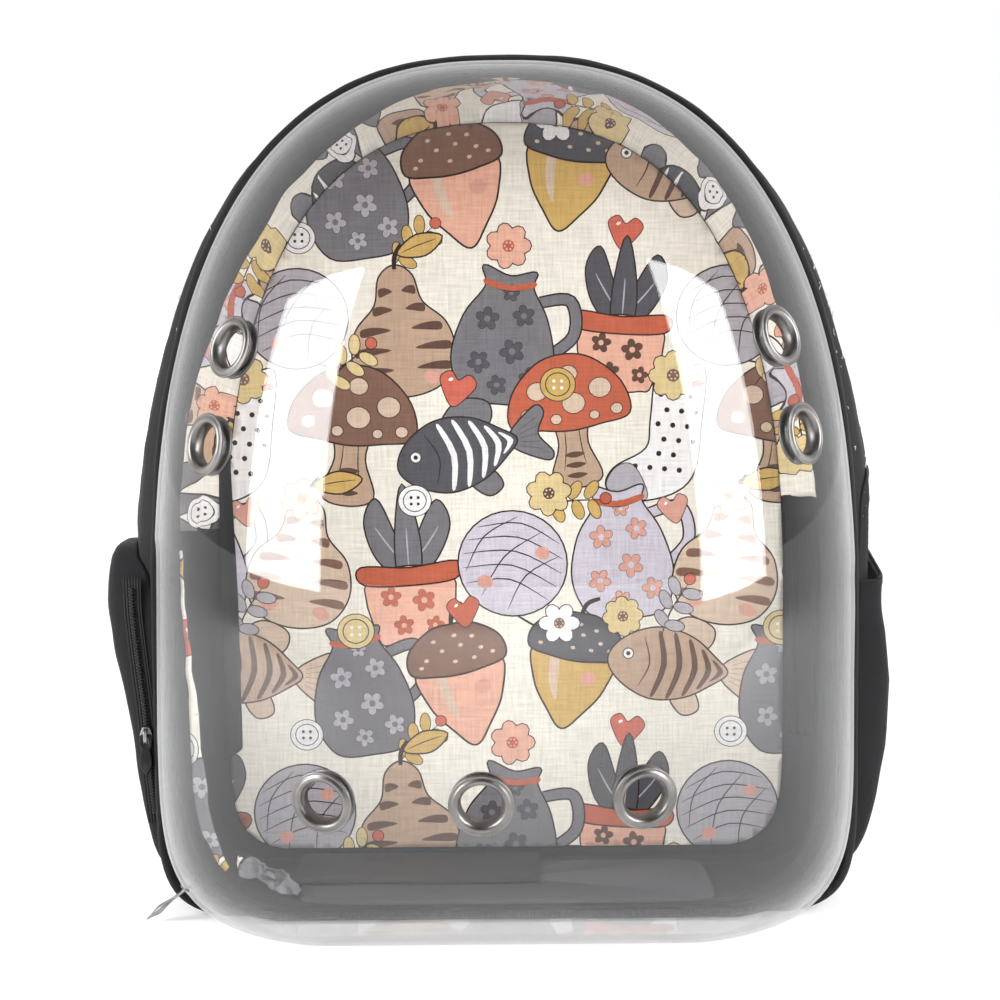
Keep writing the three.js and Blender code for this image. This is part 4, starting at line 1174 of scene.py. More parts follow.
TRAY_ROWS = 34
TRAY_CRUMPLE, PIPING_CRUMPLE = 0.7, 0.5
outer_rows = crumpled(tray_rows(0, TRAY_ROWS), TRAY_CRUMPLE)
inner_rows = tray_rows(TRAY_WALL, TRAY_ROWS)
outer_disc = back_disc(soft_tray_shape(1, 0), TRAY_DEPTH)
inner_disc = back_disc(soft_tray_shape(1, TRAY_WALL), TRAY_DEPTH - TRAY_WALL)
tray_loops = np.array(outer_disc[::-1] + outer_rows[::-1] + inner_rows + inner_disc)
tray = loft("tray", tray_loops, CANVAS)
tray.data.materials.append(LINING)
outer_faces = (len(outer_disc) + len(outer_rows)) * COLUMNS
slots_now = np.zeros(len(tray.data.polygons), np.int32)
slots_now[outer_faces:] = 1
tray.data.polygons.foreach_set("material_index", slots_now)


def side_outline(edges, corner, count):
    """Rounded rectangle in the side view as (depth, height)."""
    angles = 2 * np.pi * (np.arange(count) + 0.5) / count
    along = np.sign(np.cos(angles)) * np.abs(np.cos(angles)) ** (2 / corner)
    up = np.sign(np.sin(angles)) * np.abs(np.sin(angles)) ** (2 / corner)
    return np.stack([
        (edges["front"] + edges["back"]) / 2 + along * (edges["back"] - edges["front"]) / 2,
        (edges["foot"] + edges["top"]) / 2 + up * (edges["top"] - edges["foot"]) / 2,
    ], axis=1)


WINDOW_CORNER = 7
CUTTER_SIDES = (135, 215)
window_edge = resample(side_outline(WINDOW, WINDOW_CORNER, 200), 96, closed=True)
plug = loft("cutter_window", np.array([
    np.column_stack([np.full(len(window_edge), x), window_edge]) for x in CUTTER_SIDES
]), None)
cut_by(tray, [plug])
bag(tray, "black_cloth", "rear_tray")


def piping_path():
    """Corded edge: loops round the bag, one for each angle of the cord's section."""
    loops = []
    for angle in 2 * np.pi * np.arange(12) / 12:
        away = PIPING_RADIUS * math.cos(angle)
        shape = {
            "side": RIM_HALF_WIDTH + PIPING_STAND + away,
            "top": RIM_HEIGHT + PIPING_TOP_STAND + away,
            "foot": PIPING_FLAT * (0.5 - math.cos(angle) / 2),
            "corner": TRAY_CORNER_POWER,
        }
        loops.append(around(shape, TRAY_FRONT + PIPING_RADIUS + 0.4 - PIPING_RADIUS * math.sin(angle)))
    return np.array(loops)


piping = loft("piping", np.array(crumpled(piping_path(), PIPING_CRUMPLE)), TAPE, closed=True)
bag(piping, "black_tape", "front_piping")


# Netting in the side window

def net_strands(pitch=1.8, bar=0.3, sink=1.3, weave=0.16):
    """Strands both ways over the window, each passing over and under the ones it meets."""
    points = []
    faces = []
    uprights = np.arange(WINDOW["front"] + pitch / 2, WINDOW["back"], pitch)
    levels = np.arange(WINDOW["foot"] + pitch / 2, WINDOW["top"], pitch)
    section = [(0, 1), (-1, 0), (0, -1), (1, 0)]

    def strand(line, wide):
        base = len(points)
        for (x, depth, height) in line:
            for along, out in section:
                points.append((x + out * bar, depth + along * bar * wide[0],
                    height + along * bar * wide[1]))
        body = tube_faces(len(line), len(section), base)
        faces.extend(body if wide[1] else [tuple(reversed(face)) for face in body])

    for i, depth in enumerate(uprights):
        line = []
        for j, height in enumerate(levels):
            lift = weave if (i + j) % 2 else -weave
            line.append((tray_face(depth, height) - sink + lift, depth, height))
        line = [(line[0][0], depth, WINDOW["foot"] + bar)] + line + [(line[-1][0], depth,
            WINDOW["top"] - bar)]
        strand(line, (1, 0))
    for j, height in enumerate(levels):
        line = []
        for i, depth in enumerate(uprights):
            lift = -weave if (i + j) % 2 else weave
            line.append((tray_face(depth, height) - sink + lift, depth, height))
        line = [(line[0][0], WINDOW["front"] + bar, height)] + line + [(line[-1][0], WINDOW["back"] - bar,
            height)]
        strand(line, (0, 1))
    return new_object("window_net", to_world(np.array(points)), faces, NET)


bag(net_strands(), "black_mesh", "side_window_mesh")


# Section of the binding as (spread from the edge, outward)
BINDING = ((-1.6, 0.5), (-1.5, 1.1), (1.0, 1.3), (4.2, 1.0), (4.5, 0.4), (4.2, 0.1), (0.6, 0.1),
    (-1.2, 0.1))


def window_binding():
    """Folded tape round the edge of the window, on the outside of the wall."""
    edge = resample(side_outline(WINDOW, WINDOW_CORNER, 300), 160, closed=True)
    away = edge - edge.mean(axis=0)
    away /= np.linalg.norm(away, axis=1, keepdims=True)
    loops = []
    for spread, out in BINDING:
        line = edge + away * spread
        loops.append([(tray_face(d, h) + out, d, h) for d, h in line])
    return loft("window_binding", np.array(loops), TAPE, closed=True)


bag(window_binding(), "black_tape")


# Printed lining

LINING_FACE = TRAY_DEPTH - TRAY_WALL - 0.4 - 1.2
LINING_THICKNESS = 0.9
BACK_SHIFT, SIDE_SHIFT, HEM_SHIFT, END_SHIFT = (-196, 58), (35, -60), (12, -20), (60, 30)


def back_space(flat):
    """Lays the cloth on the back panel, with a soft ripple away from its edges."""
    x, z = flat.T
    ripple = noise_over(x * 0.012, 0, z * 0.02)
    edge = np.clip(1 - np.abs(x) / 150, 0, 1) * np.clip((400 - z) / 60, 0, 1) * np.clip((z - 4) / 40, 0, 1)
    return np.stack([x, LINING_FACE - 0.3 - 1.6 * (ripple + 0.5) * np.minimum(edge * 3, 1), z], axis=1)


def thickened(piece, thickness):
    """Gives a sheet its thickness, away from its printed face."""
    modifier = piece.modifiers.new("thickness", "SOLIDIFY")
    modifier.thickness = thickness * MM
    modifier.offset = -1
    apply_modifiers(piece)


back_border = outline(soft_tray_shape(1, TRAY_WALL + 0.6), 160)
back_print = printed_cloth("back_print", back_border, back_space, PRINT, BACK_SHIFT)
thickened(back_print, LINING_THICKNESS)
bag(back_print, "printed_cloth", "back_lining")


GUSSET_STEPS = 400
GUSSET_FRONT, GUSSET_BACK = 0.03, 0.992
GUSSET_ROWS = np.concatenate([np.linspace(GUSSET_FRONT, 0.85, 13), np.linspace(0.88, GUSSET_BACK, 9)])


def gusset_lines():
    """Inner outline of the tray at a few depths, over the arch from foot to foot."""
    lines = []
    for along in GUSSET_ROWS:
        closed = outline(soft_tray_shape(along, TRAY_WALL + 0.8), 700)
        right_start = np.argmax((closed[:, 0] > 0) & (closed[:, 1] > SIDE_LINING_RIGHT_FOOT))
        backwards = closed[::-1]
        left_end = len(closed) - np.argmax((backwards[:, 0] < 0) & (backwards[:, 1] > SIDE_LINING_LEFT_FOOT))
        line = resample(closed[right_start:left_end], GUSSET_STEPS)
        lines.append(at_depth(line, TRAY_FRONT + along * (TRAY_LENGTH - TRAY_WALL)))
    return np.array(lines)


gusset = gusset_lines()
gusset_length = float(running_length(gusset[7:8], 1)[0, -1])
gusset_width = float(gusset[-1, 0, 1] - gusset[0, 0, 1])


def gusset_space(flat):
    """Bends the cloth round the inside of the tray, with soft folds near its front hem."""
    share = GUSSET_FRONT + np.clip(flat[:, 1] / gusset_width, 0, 1) * (GUSSET_BACK - GUSSET_FRONT)
    row = np.interp(share, GUSSET_ROWS, np.arange(len(GUSSET_ROWS)))
    column = np.clip(flat[:, 0] / gusset_length, 0, 1) * (GUSSET_STEPS - 1)
    r = np.minimum(row.astype(int), len(gusset) - 2)
    c = np.minimum(column.astype(int), GUSSET_STEPS - 2)
    fr, fc = (row - r)[:, None], (column - c)[:, None]
    place = (
        gusset[r, c] * (1 - fr) * (1 - fc) + gusset[r + 1, c] * fr * (1 - fc)
        + gusset[r, c + 1] * (1 - fr) * fc + gusset[r + 1, c + 1] * fr * fc
    )
    inward = np.stack([-place[:, 0], np.zeros(len(place)), BAG_MIDDLE - place[:, 2]], axis=1)
    inward /= np.linalg.norm(inward, axis=1, keepdims=True)
    u, v = flat.T
    folds = noise_over(u * 0.045, v * 0.012, 3) + 0.5 * noise_over(u * 0.11, v * 0.03, 7)
    hem = np.clip(1 - flat[:, 1] / gusset_width, 0, 1)
    arch = np.clip(1 - np.abs(flat[:, 0] / gusset_length - 0.5) / 0.3, 0, 1)
    swell = 0.6 + (4.0 + 3.0 * arch) * hem
    lift = (0.4 + np.clip(folds + 0.45, 0, 1.4) * swell) * np.clip(flat[:, 1] / 6, 0.15, 1)
    return place + inward * lift[:, None]


gusset_border = resample(np.array([
    (0, 0), (gusset_length, 0), (gusset_length, gusset_width), (0, gusset_width),
]), 260, closed=True)
side_print = printed_cloth("side_print", gusset_border, gusset_space, PRINT, SIDE_SHIFT, 6.0)
thickened(side_print, -0.7)
bag(side_print, "printed_cloth", "side_lining")


# Seam allowance inside the rim: its width by the angle round the rim, in degrees from the right

FLANGE_CENTRE = 210
FLANGE_SECTION = ((0, 0), (0.3, 0.6), (0.7, 2), (1, 3.6), (1.03, 4), (1, 4.4), (0.7, 2.8), (0.3, 1.4),
    (0, 0.8))
FLANGE = ((-180, 2.5), (-165, 4), (-150, 7), (-130, 8), (-124, 5), (-117, 0.9), (-63, 0.9), (-56, 5),
    (-50, 7),
          (-20, 7.5), (0, 8), (20, 9), (40, 9.5), (60, 7), (75, 3.5), (90, 2), (103, 6), (118, 11),
              (135, 10),
          (150, 6.5), (165, 2.5), (180, 2.5))
flange_base = outline(rim_shape(-TRAY_WALL - 0.2), COLUMNS)
flange_inward = -outward_normals(flange_base)[:, (0, 2)]
flange_angles = np.degrees(np.arctan2(flange_base[:, 1] - FLANGE_CENTRE, flange_base[:, 0]))
flange_width = np.interp(flange_angles, *np.array(FLANGE).T)


def seam_flange():
    wave = noise_over(flange_base[:, 0] * 0.05, 2, flange_base[:, 1] * 0.05)
    loops = []
    for across, depth in FLANGE_SECTION:
        flat = flange_base + flange_inward * (flange_width * across * (1 + 0.15 * wave))[:, None]
        loops.append(np.column_stack([flat[:, 0], TRAY_FRONT + 1 + depth + wave * across, flat[:, 1]]))
    return loft("seam_flange", np.array(loops), LINING, closed=True)


bag(seam_flange(), "black_cloth")


# Printed hem that shows along the flange's edge down the left side, wider towards the corner

HEM_FROM, HEM_TO = -172, -127
HEM_THICKNESS = 0.5
HEM_WIDTH = ((-172, 0.9), (-160, 1.4), (-152, 2.2), (-145, 4.5), (-138, 6), (-131, 5), (-127, 2.5))


def printed_hem():
    chosen = (flange_angles > HEM_FROM) & (flange_angles < HEM_TO)
    start = (flange_base + flange_inward * flange_width[:, None])[chosen]
    inward = flange_inward[chosen]
    width = np.interp(flange_angles[chosen], *np.array(HEM_WIDTH).T)
    length = running_length(start[:, None], 0)[:, 0]

    def to_space(flat):
        place = np.stack([np.interp(flat[:, 0], length, start[:, k]) for k in (0, 1)], axis=1)
        way = np.stack([np.interp(flat[:, 0], length, inward[:, k]) for k in (0, 1)], axis=1)
        wave = noise_over(flat[:, 0] * 0.09, flat[:, 1] * 0.1, 5)
        spot = place + way * (flat[:, 1] + 0.9 * wave)[:, None]
        return np.column_stack([spot[:, 0], TRAY_FRONT + 4 + 1.2 * wave, spot[:, 1]])

    border = np.vstack([
        np.stack([length, np.full(len(length), -0.6)], axis=1), np.stack([length, width], axis=1)[::-1],
    ])
    return printed_cloth("printed_hem", border, to_space, PRINT, HEM_SHIFT, 3.0)


hem = printed_hem()
thickened(hem, HEM_THICKNESS)
bag(hem, "printed_cloth")


END_PLACE = (-136, 18, 27.5)


def crumpled_end():
    """Loose end of the printed hem, bunched in the corner in front of the mat."""

    def to_space(flat):
        u, v = flat.T
        wave = noise_over(u * 0.16, v * 0.22, 9)
        fine = noise_over(u * 0.4, v * 0.5, 4)
        return np.column_stack([
            END_PLACE[0] + u + 2 * wave,
            END_PLACE[1] + 4.5 * wave + 1.6 * fine,
            END_PLACE[2] - 0.5 * u + 0.85 * v + 2 * fine,
        ])

    return printed_cloth("crumpled_end", oval(16, 0, 16, 6.5, 4, 40, 2.6), to_space, PRINT, END_SHIFT, 1.6)


loose_end = crumpled_end()
thickened(loose_end, HEM_THICKNESS)
bag(loose_end, "printed_cloth")


# Dark strips over the back corners, and a loose panel on the mat

CORNER_STRIP = {"low": 72, "high": 190, "near": 93, "far": 105.5, "thickness": 0.8}


def corner_strip():
    """Band of tape down the right back corner, on the inside of the wall."""
    rows = []
    for level in np.linspace(CORNER_STRIP["low"], CORNER_STRIP["high"], 40):
        row = []
        for depth in np.linspace(CORNER_STRIP["near"], CORNER_STRIP["far"], 9):
            along = min((depth - TRAY_FRONT) / (TRAY_LENGTH - TRAY_WALL), 1)
            half = side_at(soft_tray_shape(along, TRAY_WALL + 1.0), level)
            sway = 0.5 * abs(noise.noise(Vector((depth * 0.2, level * 0.06, 1))))
            row.append((half - sway, depth, level))
        rows.append(row)
    rows = np.array(rows)
    inner = rows.copy()
    inner[..., 0] -= CORNER_STRIP["thickness"]
    return loft("corner_strip", np.concatenate([rows, inner[:, ::-1]], axis=1), TAPE)


bag(corner_strip(), "black_tape")

# Section of a thin panel from its middle over its edge: share of the outline, share of the thickness
PANEL = ((0.02, 0), (0.6, 0), (0.99, 0.15), (1, 0.5), (0.99, 0.85), (0.6, 1), (0.02, 1))


def panel_loops(corners, count):
    """Outlines of a thin panel, each with its share of the thickness."""
    edge = resample(np.array(corners, float), count, closed=True)
    middle = edge.mean(axis=0)
    return [(middle + (edge - middle) * share, lift) for share, lift in PANEL]


def left_strip(corners, depth, thickness):
    """Thin strip standing on the back panel, from its corners as (x, height)."""
    loops = []
    for flat, lift in panel_loops(corners, 120):
        sway = noise_over(flat[:, 0] * 0.04, 1, flat[:, 1] * 0.03) * 0.6
        loops.append(np.column_stack([flat[:, 0], depth - lift * thickness + sway, flat[:, 1]]))
    return loft("left_strip", np.array(loops), LINING)


def foot_board(corners, foot, thickness):
    """Thin loose panel lying on the mat, from its corners as (x, depth)."""
    loops = []
    for flat, lift in panel_loops(corners, 160):
        sway = noise_over(flat[:, 0] * 0.03, flat[:, 1] * 0.03, 4) * 0.5
        loops.append(np.column_stack([flat, foot + lift * thickness + sway]))
    return loft("foot_board", np.array(loops), LINING)


STRIP_CORNERS = [(-153, 60), (-143, 66), (-144, 150), (-147.5, 245), (-153, 245)]
BOARD_CORNERS = [(-113, 40), (16, 38), (18, 97), (-110, 97)]
bag(left_strip(STRIP_CORNERS, LINING_FACE - 2.2, 0.8), "black_cloth")
bag(foot_board(BOARD_CORNERS, 8.6, 1.6), "black_cloth")


# Floor mat

MAT = {"front": TRAY_FRONT + 2, "back": TRAY_FRONT + 0.82 * (TRAY_LENGTH - TRAY_WALL), "foot": -106,
    "top": 106}
MAT_CORNER = 9
MAT_SEAM_LEVEL = 7.2

# Section from the middle under the edge and back over the stitched rim: share of the outline, height
MAT_SECTION = ((0.02, 4.5), (0.5, 4.45), (0.97, 4.4), (0.99, 4.6), (1.0, 5.4), (1.0, 6.4), (0.99, 7.2),
    (0.975, 7.55),
               (0.955, 7.1), (0.94, 6.9), (0.92, 7.3), (0.85, 7.9), (0.7, 8.1), (0.5, 8.1), (0.25, 8.1),
                   (0.02, 8.1))


def floor_mat():
    """Mat on the tray's foot, in the side outline's own terms: depth, then x in place of height."""
    edge = resample(side_outline(MAT, MAT_CORNER, 400), 200, closed=True)
    middle = edge.mean(axis=0)
    loops = []
    for share, height in MAT_SECTION:
        flat = middle + (edge - middle) * share
        dips = noise_over(flat[:, 0] * 0.03, flat[:, 1] * 0.03, 0) if height > MAT_SEAM_LEVEL else 0
        loops.append(np.column_stack([flat[:, 1], flat[:, 0], height + 0.35 * dips * np.ones(len(flat))]))
    return loft("mat", np.array(loops), MAT_CLOTH)


bag(floor_mat(), "floor_cloth", "floor_mat")


# Side pockets

POCKET = {"front": 21, "back": 91, "foot": 20, "top": 186}
POCKET_WALL = 1.8
POCKET_SEAM = 0.9
POCKET_DEPTH = {"left": 14, "right": 12}
POCKET_CORNER = 4.6

# How full each pocket is, from its foot to its top
LEAN_UP = (0, 0.15, 0.28, 0.4, 0.52, 0.64, 0.8, 1)
LEAN = {"left": (0.05, 0.25, 0.43, 0.5, 0.62, 0.85, 1, 0.85),
    "right": (0.1, 0.55, 0.8, 0.95, 0.97, 0.8, 0.3, 0.02)}

# Section of a pocket from its seam to its middle: share of the outline, share of the depth
BOWL = ((1, 0), (1.0, 0.1), (1.003, 0.3), (1.003, 0.5), (1.0, 0.66), (0.985, 0.78), (0.95, 0.88),
    (0.88, 0.94),
        (0.8, 0.97), (0.65, 0.99), (0.5, 1), (0.3, 1), (0.1, 1), (0.02, 1))
WIDEST_ALONG = 0.36
lean_up = {side: smoothed(LEAN_UP, LEAN[side], 0.05) for side in LEAN}


def pocket_reach(side, depth, height):
    """How far a pocket's face stands off the wall."""
    up = (height - POCKET["foot"]) / (POCKET["top"] - POCKET["foot"])
    widest = side_at(tray_shape(WIDEST_ALONG, 0), height)
    return widest - tray_face(depth, height) + POCKET_DEPTH[side] * lean_up[side](up)


def pocket(side, sign, count=160):
    """Closed pouch of two skins, the outer and the inner one."""
    edge = side_outline(POCKET, POCKET_CORNER, count)
    middle = np.array([(POCKET["front"] + POCKET["back"]) / 2, (POCKET["foot"] + POCKET["top"]) / 2])
    skins = []
    for inset in (0, POCKET_WALL):
        rows = []
        for spread, share in BOWL:
            spread -= inset * 2 / (POCKET["back"] - POCKET["front"])
            loop = []
            for depth, height in middle + (edge - middle) * max(spread, 0.02):
                reach = share * pocket_reach(side, depth, height)
                pucker = noise.noise(Vector((depth * 0.07, height * 0.05, sign * 4))) * share * 1.1
                bulge = max(reach + pucker - (inset if share > 0 else 0), 0)
                loop.append((sign * (tray_face(depth, height) + POCKET_SEAM + bulge), depth, height))
            rows.append(loop)
        skins.append(rows)
    return loft(f"{side}_pocket", np.array(skins[0][::-1] + skins[1]), CANVAS)


left_pocket = pocket("left", -1)
bag(left_pocket, "black_cloth", "left_zip_pocket")

MOUTH_FRONT, MOUTH_BACK = 164, 182
right_pocket = pocket("right", 1)
front, back, above = POCKET["front"] - 5, POCKET["back"] + 5, POCKET["top"] + 30
MOUTH_CUTTER_SIDES = (140, 240)
mouth = loft("cutter_mouth", np.array([
    [(x, front, MOUTH_FRONT), (x, back, MOUTH_BACK), (x, back, above), (x, front, above)]
    for x in MOUTH_CUTTER_SIDES
]), None, smooth=False)
cut_by(right_pocket, [mouth])
bag(right_pocket, "black_cloth", "right_open_pocket")


HEM_INSET, HEM_DROP, HEM_EASE = 6, 2.2, 14


def mouth_hem():
    """Elastic hem along the right pocket's slanted mouth."""
    line = []
    for t in np.linspace(0, 1, 60):
        depth = POCKET["front"] + HEM_INSET + t * (POCKET["back"] - POCKET["front"] - 2 * HEM_INSET)
        height = MOUTH_FRONT + (MOUTH_BACK - MOUTH_FRONT) * (depth - front) / (back - front) - HEM_DROP
        edge = min((depth - POCKET["front"]) / HEM_EASE, (POCKET["back"] - depth) / HEM_EASE, 1)
        reach = pocket_reach("right", depth, height) * math.sin(math.pi / 2 * edge)
        line.append((tray_face(depth, height) + POCKET_SEAM + reach + 0.1 + 0.2 * math.sin(t * 120), depth,
            height))
    return loft("mouth_hem", sweep_loops(line, band_section(6, 1.3, 0.6, 5, 0.3), (0, 0, 1)), TAPE)


bag(mouth_hem(), "black_tape")


# Zip on the front face of the left pocket

POCKET_ZIP_DEPTH = 20.6
POCKET_ZIP_SHARE = 0.5
POCKET_ZIP = (52, 166)


def pocket_zip_x(height):
    return -(tray_face(POCKET["front"], height) + POCKET_ZIP_SHARE * pocket_reach("left", POCKET["front"],
        height))


POCKET_ZIP_PITCH = 0.8
zip_heights = np.arange(*POCKET_ZIP, POCKET_ZIP_PITCH)
zip_line = np.array([(pocket_zip_x(h), POCKET_ZIP_DEPTH - 0.45, h) for h in zip_heights])
pocket_zip_out = np.broadcast_to((0.0, -1.0, 0.0), zip_line.shape)
pocket_coil = teeth("pocket_zip_coil", zip_line, pocket_zip_out, (1, 0, 0), 3.4, 0.75, 0.33)
bag(pocket_coil, "black_tape", "left_pocket_zip")

zip_heights = np.linspace(POCKET_ZIP[0] - 5, POCKET_ZIP[1] + 5, 50)
pocket_tape = loft("pocket_zip_tape", sweep_loops(
    [(pocket_zip_x(h), POCKET_ZIP_DEPTH - 0.1, h) for h in zip_heights],
    band_section(9, 0.5, 0.2, 4), (1, 0, 0)), TAPE)
bag(pocket_tape, "black_tape")


# Zip sliders and pulls, in the frame of the zip: X along it, Y across it, Z away from the cloth

def rounded_box(size, centre, bevel, matrix, name, material, segments=3):
    mesh = bpy.data.meshes.new(name)
    shape = bmesh.new()
    bmesh.ops.create_cube(shape, size=1)
    bmesh.ops.scale(shape, vec=size, verts=shape.verts)
    bmesh.ops.bevel(shape, geom=shape.edges[:], offset=bevel, segments=segments, affect="EDGES",
        profile=0.6)
    bmesh.ops.translate(shape, vec=centre, verts=shape.verts)
    shape.to_mesh(mesh)
    shape.free()
    points = np.array([matrix @ vertex.co for vertex in mesh.vertices])
    faces = [tuple(polygon.vertices) for polygon in mesh.polygons]
    bpy.data.meshes.remove(mesh)
    return new_object(name, to_world(points), faces, material)


def joined(name, pieces):
    """Joins pieces with one material list into the first."""
    bpy.ops.object.select_all(action="DESELECT")
    for piece in pieces:
        piece.select_set(True)
    bpy.context.view_layer.objects.active = pieces[0]
    bpy.ops.object.join()
    pieces[0].name = name
    pieces[0].data.name = name
    return pieces[0]


# Path of a slider's bridge, in the slider's own frame
BRIDGE = [(-3.0, 0, 2.6), (-3.05, 0, 4.6), (-2.4, 0, 5.9), (-1.0, 0, 6.15), (1.0, 0, 6.15), (2.4, 0, 5.9),
          (3.05, 0, 4.6), (3.0, 0, 2.6)]


def slider(name, matrix):
    """Slider body with a waist and side flanges, and a bridge over it."""
    body_loops = []
    for z, grow_by in ((0.25, 0.0), (0.7, 0.25), (2.3, 0.25), (2.9, -0.1), (3.0, -0.5)):
        loop = []
        for t in np.linspace(0, 2 * math.pi, 48, endpoint=False):
            c, s = math.cos(t), math.sin(t)
            x = 4.3 * math.copysign(abs(c) ** 0.55, c)
            y = 3.2 * math.copysign(abs(s) ** 0.6, s)
            waist = 1 - 0.22 * math.exp(-((x + 3.2) / 1.9) ** 2)
            loop.append((x + grow_by * c * 0.7, (y + grow_by * s * 0.7) * waist, z))
        body_loops.append([matrix @ Vector(point) for point in loop])
    body = loft(f"{name}_body", np.array(body_loops), STEEL)
    loops = sweep_loops(catmull(BRIDGE, 6), band_section(2.0, 0.95, 0.4, 4), (0, 1, 0))
    loops = np.array([[matrix @ Vector(point) for point in loop] for loop in loops])
    bridge = loft(f"{name}_bridge", loops, STEEL)
    return joined(name, [body, bridge])


# Section of a pull from its eye to its rim: share of the width, height
PULL_SECTION = ((0.0, 0.35), (0.0, -0.35), (0.06, -0.55), (0.5, -0.5), (0.93, -0.6), (1.0, -0.35),
    (1.0, 0.35),
                (0.93, 0.6), (0.5, 0.5), (0.06, 0.55))


def pull_tab(name, matrix, length, material):
    """Leaf-shaped pull along +X with a rounded rim and an eye at its hinge."""
    bar, eye_length, eye_width = 1.5, 3.8, 3.0
    half_bar = bar / 2
    eye_end = half_bar + eye_length + bar
    upper = catmull([
        (-half_bar, 0.0), (-half_bar + 0.1, 2.2), (0.3, 3.0), (eye_end - 1.4, 2.95), (eye_end + 1.2, 2.0),
        (length * 0.42, 2.2), (length * 0.6, 3.2), (length * 0.76, 2.9), (length * 0.9, 1.6),
        (length - 0.1, 0.35), (length, 0.0),
    ], 6)
    outer = np.vstack([upper, upper[1:-1][::-1] * (1, -1)])
    middle = (half_bar + eye_length / 2, 0.0)
    order = np.arctan2(outer[:, 1] - middle[1], outer[:, 0] - middle[0])
    inner = []
    for angle in order:
        c, s = math.cos(angle), math.sin(angle)
        reach = min(eye_length / 2 / max(abs(c), 1e-6), eye_width / 2 / max(abs(s), 1e-6))
        round_reach = (abs(c / (eye_length / 2)) ** 4 + abs(s / (eye_width / 2)) ** 4) ** -0.25
        inner.append((middle[0] + round_reach * c, middle[1] + min(reach, round_reach) * s))
    inner = np.array(inner)
    loops = []
    for share, height in PULL_SECTION:
        flat = inner + (outer - inner) * share
        full = 0.8 + 1.7 * np.exp(-((flat[:, 0] / length - 0.68) / 0.17) ** 2)
        loops.append([matrix @ Vector((x, y, height * swell)) for (x, y), swell in zip(flat, full)])
    return loft(name, np.array(loops), material, closed=True)


def axes_frame(x_axis, z_axis, place):
    x = Vector(x_axis).normalized()
    z = Vector(z_axis).normalized()
    y = z.cross(x)
    matrix = Matrix((x, y, z)).transposed().to_4x4()
    return Matrix.Translation(Vector(place)) @ matrix


joint_place = {joint["child"]: Vector(joint["pos_m"]) for joint in frame["joints"]}


def own(place):
    """World metres back to own millimetres."""
    return Vector((place[0], place[1] - RIM_Y, place[2])) / MM


main_hinge = own(joint_place["main_pull"])
HINGE_RISE = 4.3
MAIN_PULL_REST = math.radians(218)
MAIN_PULL_LENGTH, POCKET_PULL_LENGTH = 26, 20
main_low, main_high = (own(corner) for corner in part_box("main_zip_slider"))
slider_middle = (main_low + main_high) / 2
main_out = Vector((main_hinge.x - slider_middle.x, 0, main_hinge.z - slider_middle.z)).normalized()
main_along = Vector((main_out.z, 0, -main_out.x))
main_slider = slider("zip_slider", axes_frame(main_along, main_out, main_hinge - main_out * HINGE_RISE))
bag(main_slider, "zip_metal", "main_zip_slider")
pull_along = Vector((math.cos(MAIN_PULL_REST), 0, math.sin(MAIN_PULL_REST)))
pull_up = Vector((pull_along.z, 0, -pull_along.x))
main_pull = pull_tab("zip_pull", axes_frame(pull_along, pull_up, main_hinge), MAIN_PULL_LENGTH, STEEL)
keep(main_pull, "main_pull", "zip_metal", "main_zip_pull")

pocket_hinge = own(joint_place["pocket_pull"])
down, forward = Vector((0, 0, -1)), Vector((0, -1, 0))
pocket_slider = slider("pocket_slider", axes_frame(down, forward, pocket_hinge - forward * HINGE_RISE))
bag(pocket_slider, "zip_metal", "left_pocket_slider")
pocket_pull = pull_tab(
    "pocket_pull", axes_frame(down, forward, pocket_hinge), POCKET_PULL_LENGTH, DARK_STEEL)
keep(pocket_pull, "pocket_pull", "zip_metal", "left_pocket_pull")


# Lint caught by the black cloth beside the rim: side, levels and number of fibres

LINT_SEED = 11
LINT_PLACES = ((1, 180, 345, 46), (-1, 95, 170, 16), (-1, 250, 350, 7), (1, 90, 180, 8))


def lint():
    """Short curled fibres lying on the cloth."""
    chance = np.random.default_rng(LINT_SEED)
    points = []
    faces = []
    for side, low, high, count in LINT_PLACES:
        for _ in range(count):
            level = chance.uniform(low, high)
            depth = chance.uniform(TRAY_FRONT + 6, TRAY_FRONT + 24)
            spot = np.array([side * (tray_face(depth, level) + 0.7), depth, level])
            reach = chance.uniform(0.3, 1.3)
            line = catmull(spot + chance.normal(0, 1, (4, 3)) * (0.25, reach * 0.5, reach), 3)
            loops = sweep_loops(line, round_section(chance.uniform(0.09, 0.2), 4), (0.31, 0.87, 0.39))
            faces += tube_faces(len(line), 4, len(points))
            points += list(loops.reshape(-1, 3))
    return new_object("lint", to_world(np.array(points)), faces, LINT)


bag(lint(), "black_cloth")


# Padded back panel

PAD_FACE = TRAY_DEPTH + 0.4
PAD_THICKNESS = 10
PAD_BLANK = PAD_THICKNESS - 3.4
PAD = {"side": RIM_HALF_WIDTH - 26, "top": 358, "foot": 74}
PAD_MIDDLE = 210
CHANNEL_LEVELS = (258, 166)
CHANNEL_REACH, CHANNEL_CURVE, CHANNEL_WIDTH = 140, 16, 5.5


def pad_outline(inset, steps):
    return outline({"side": PAD["side"] - inset, "top": PAD["top"] - inset, "foot": PAD["foot"] + inset},
        steps)


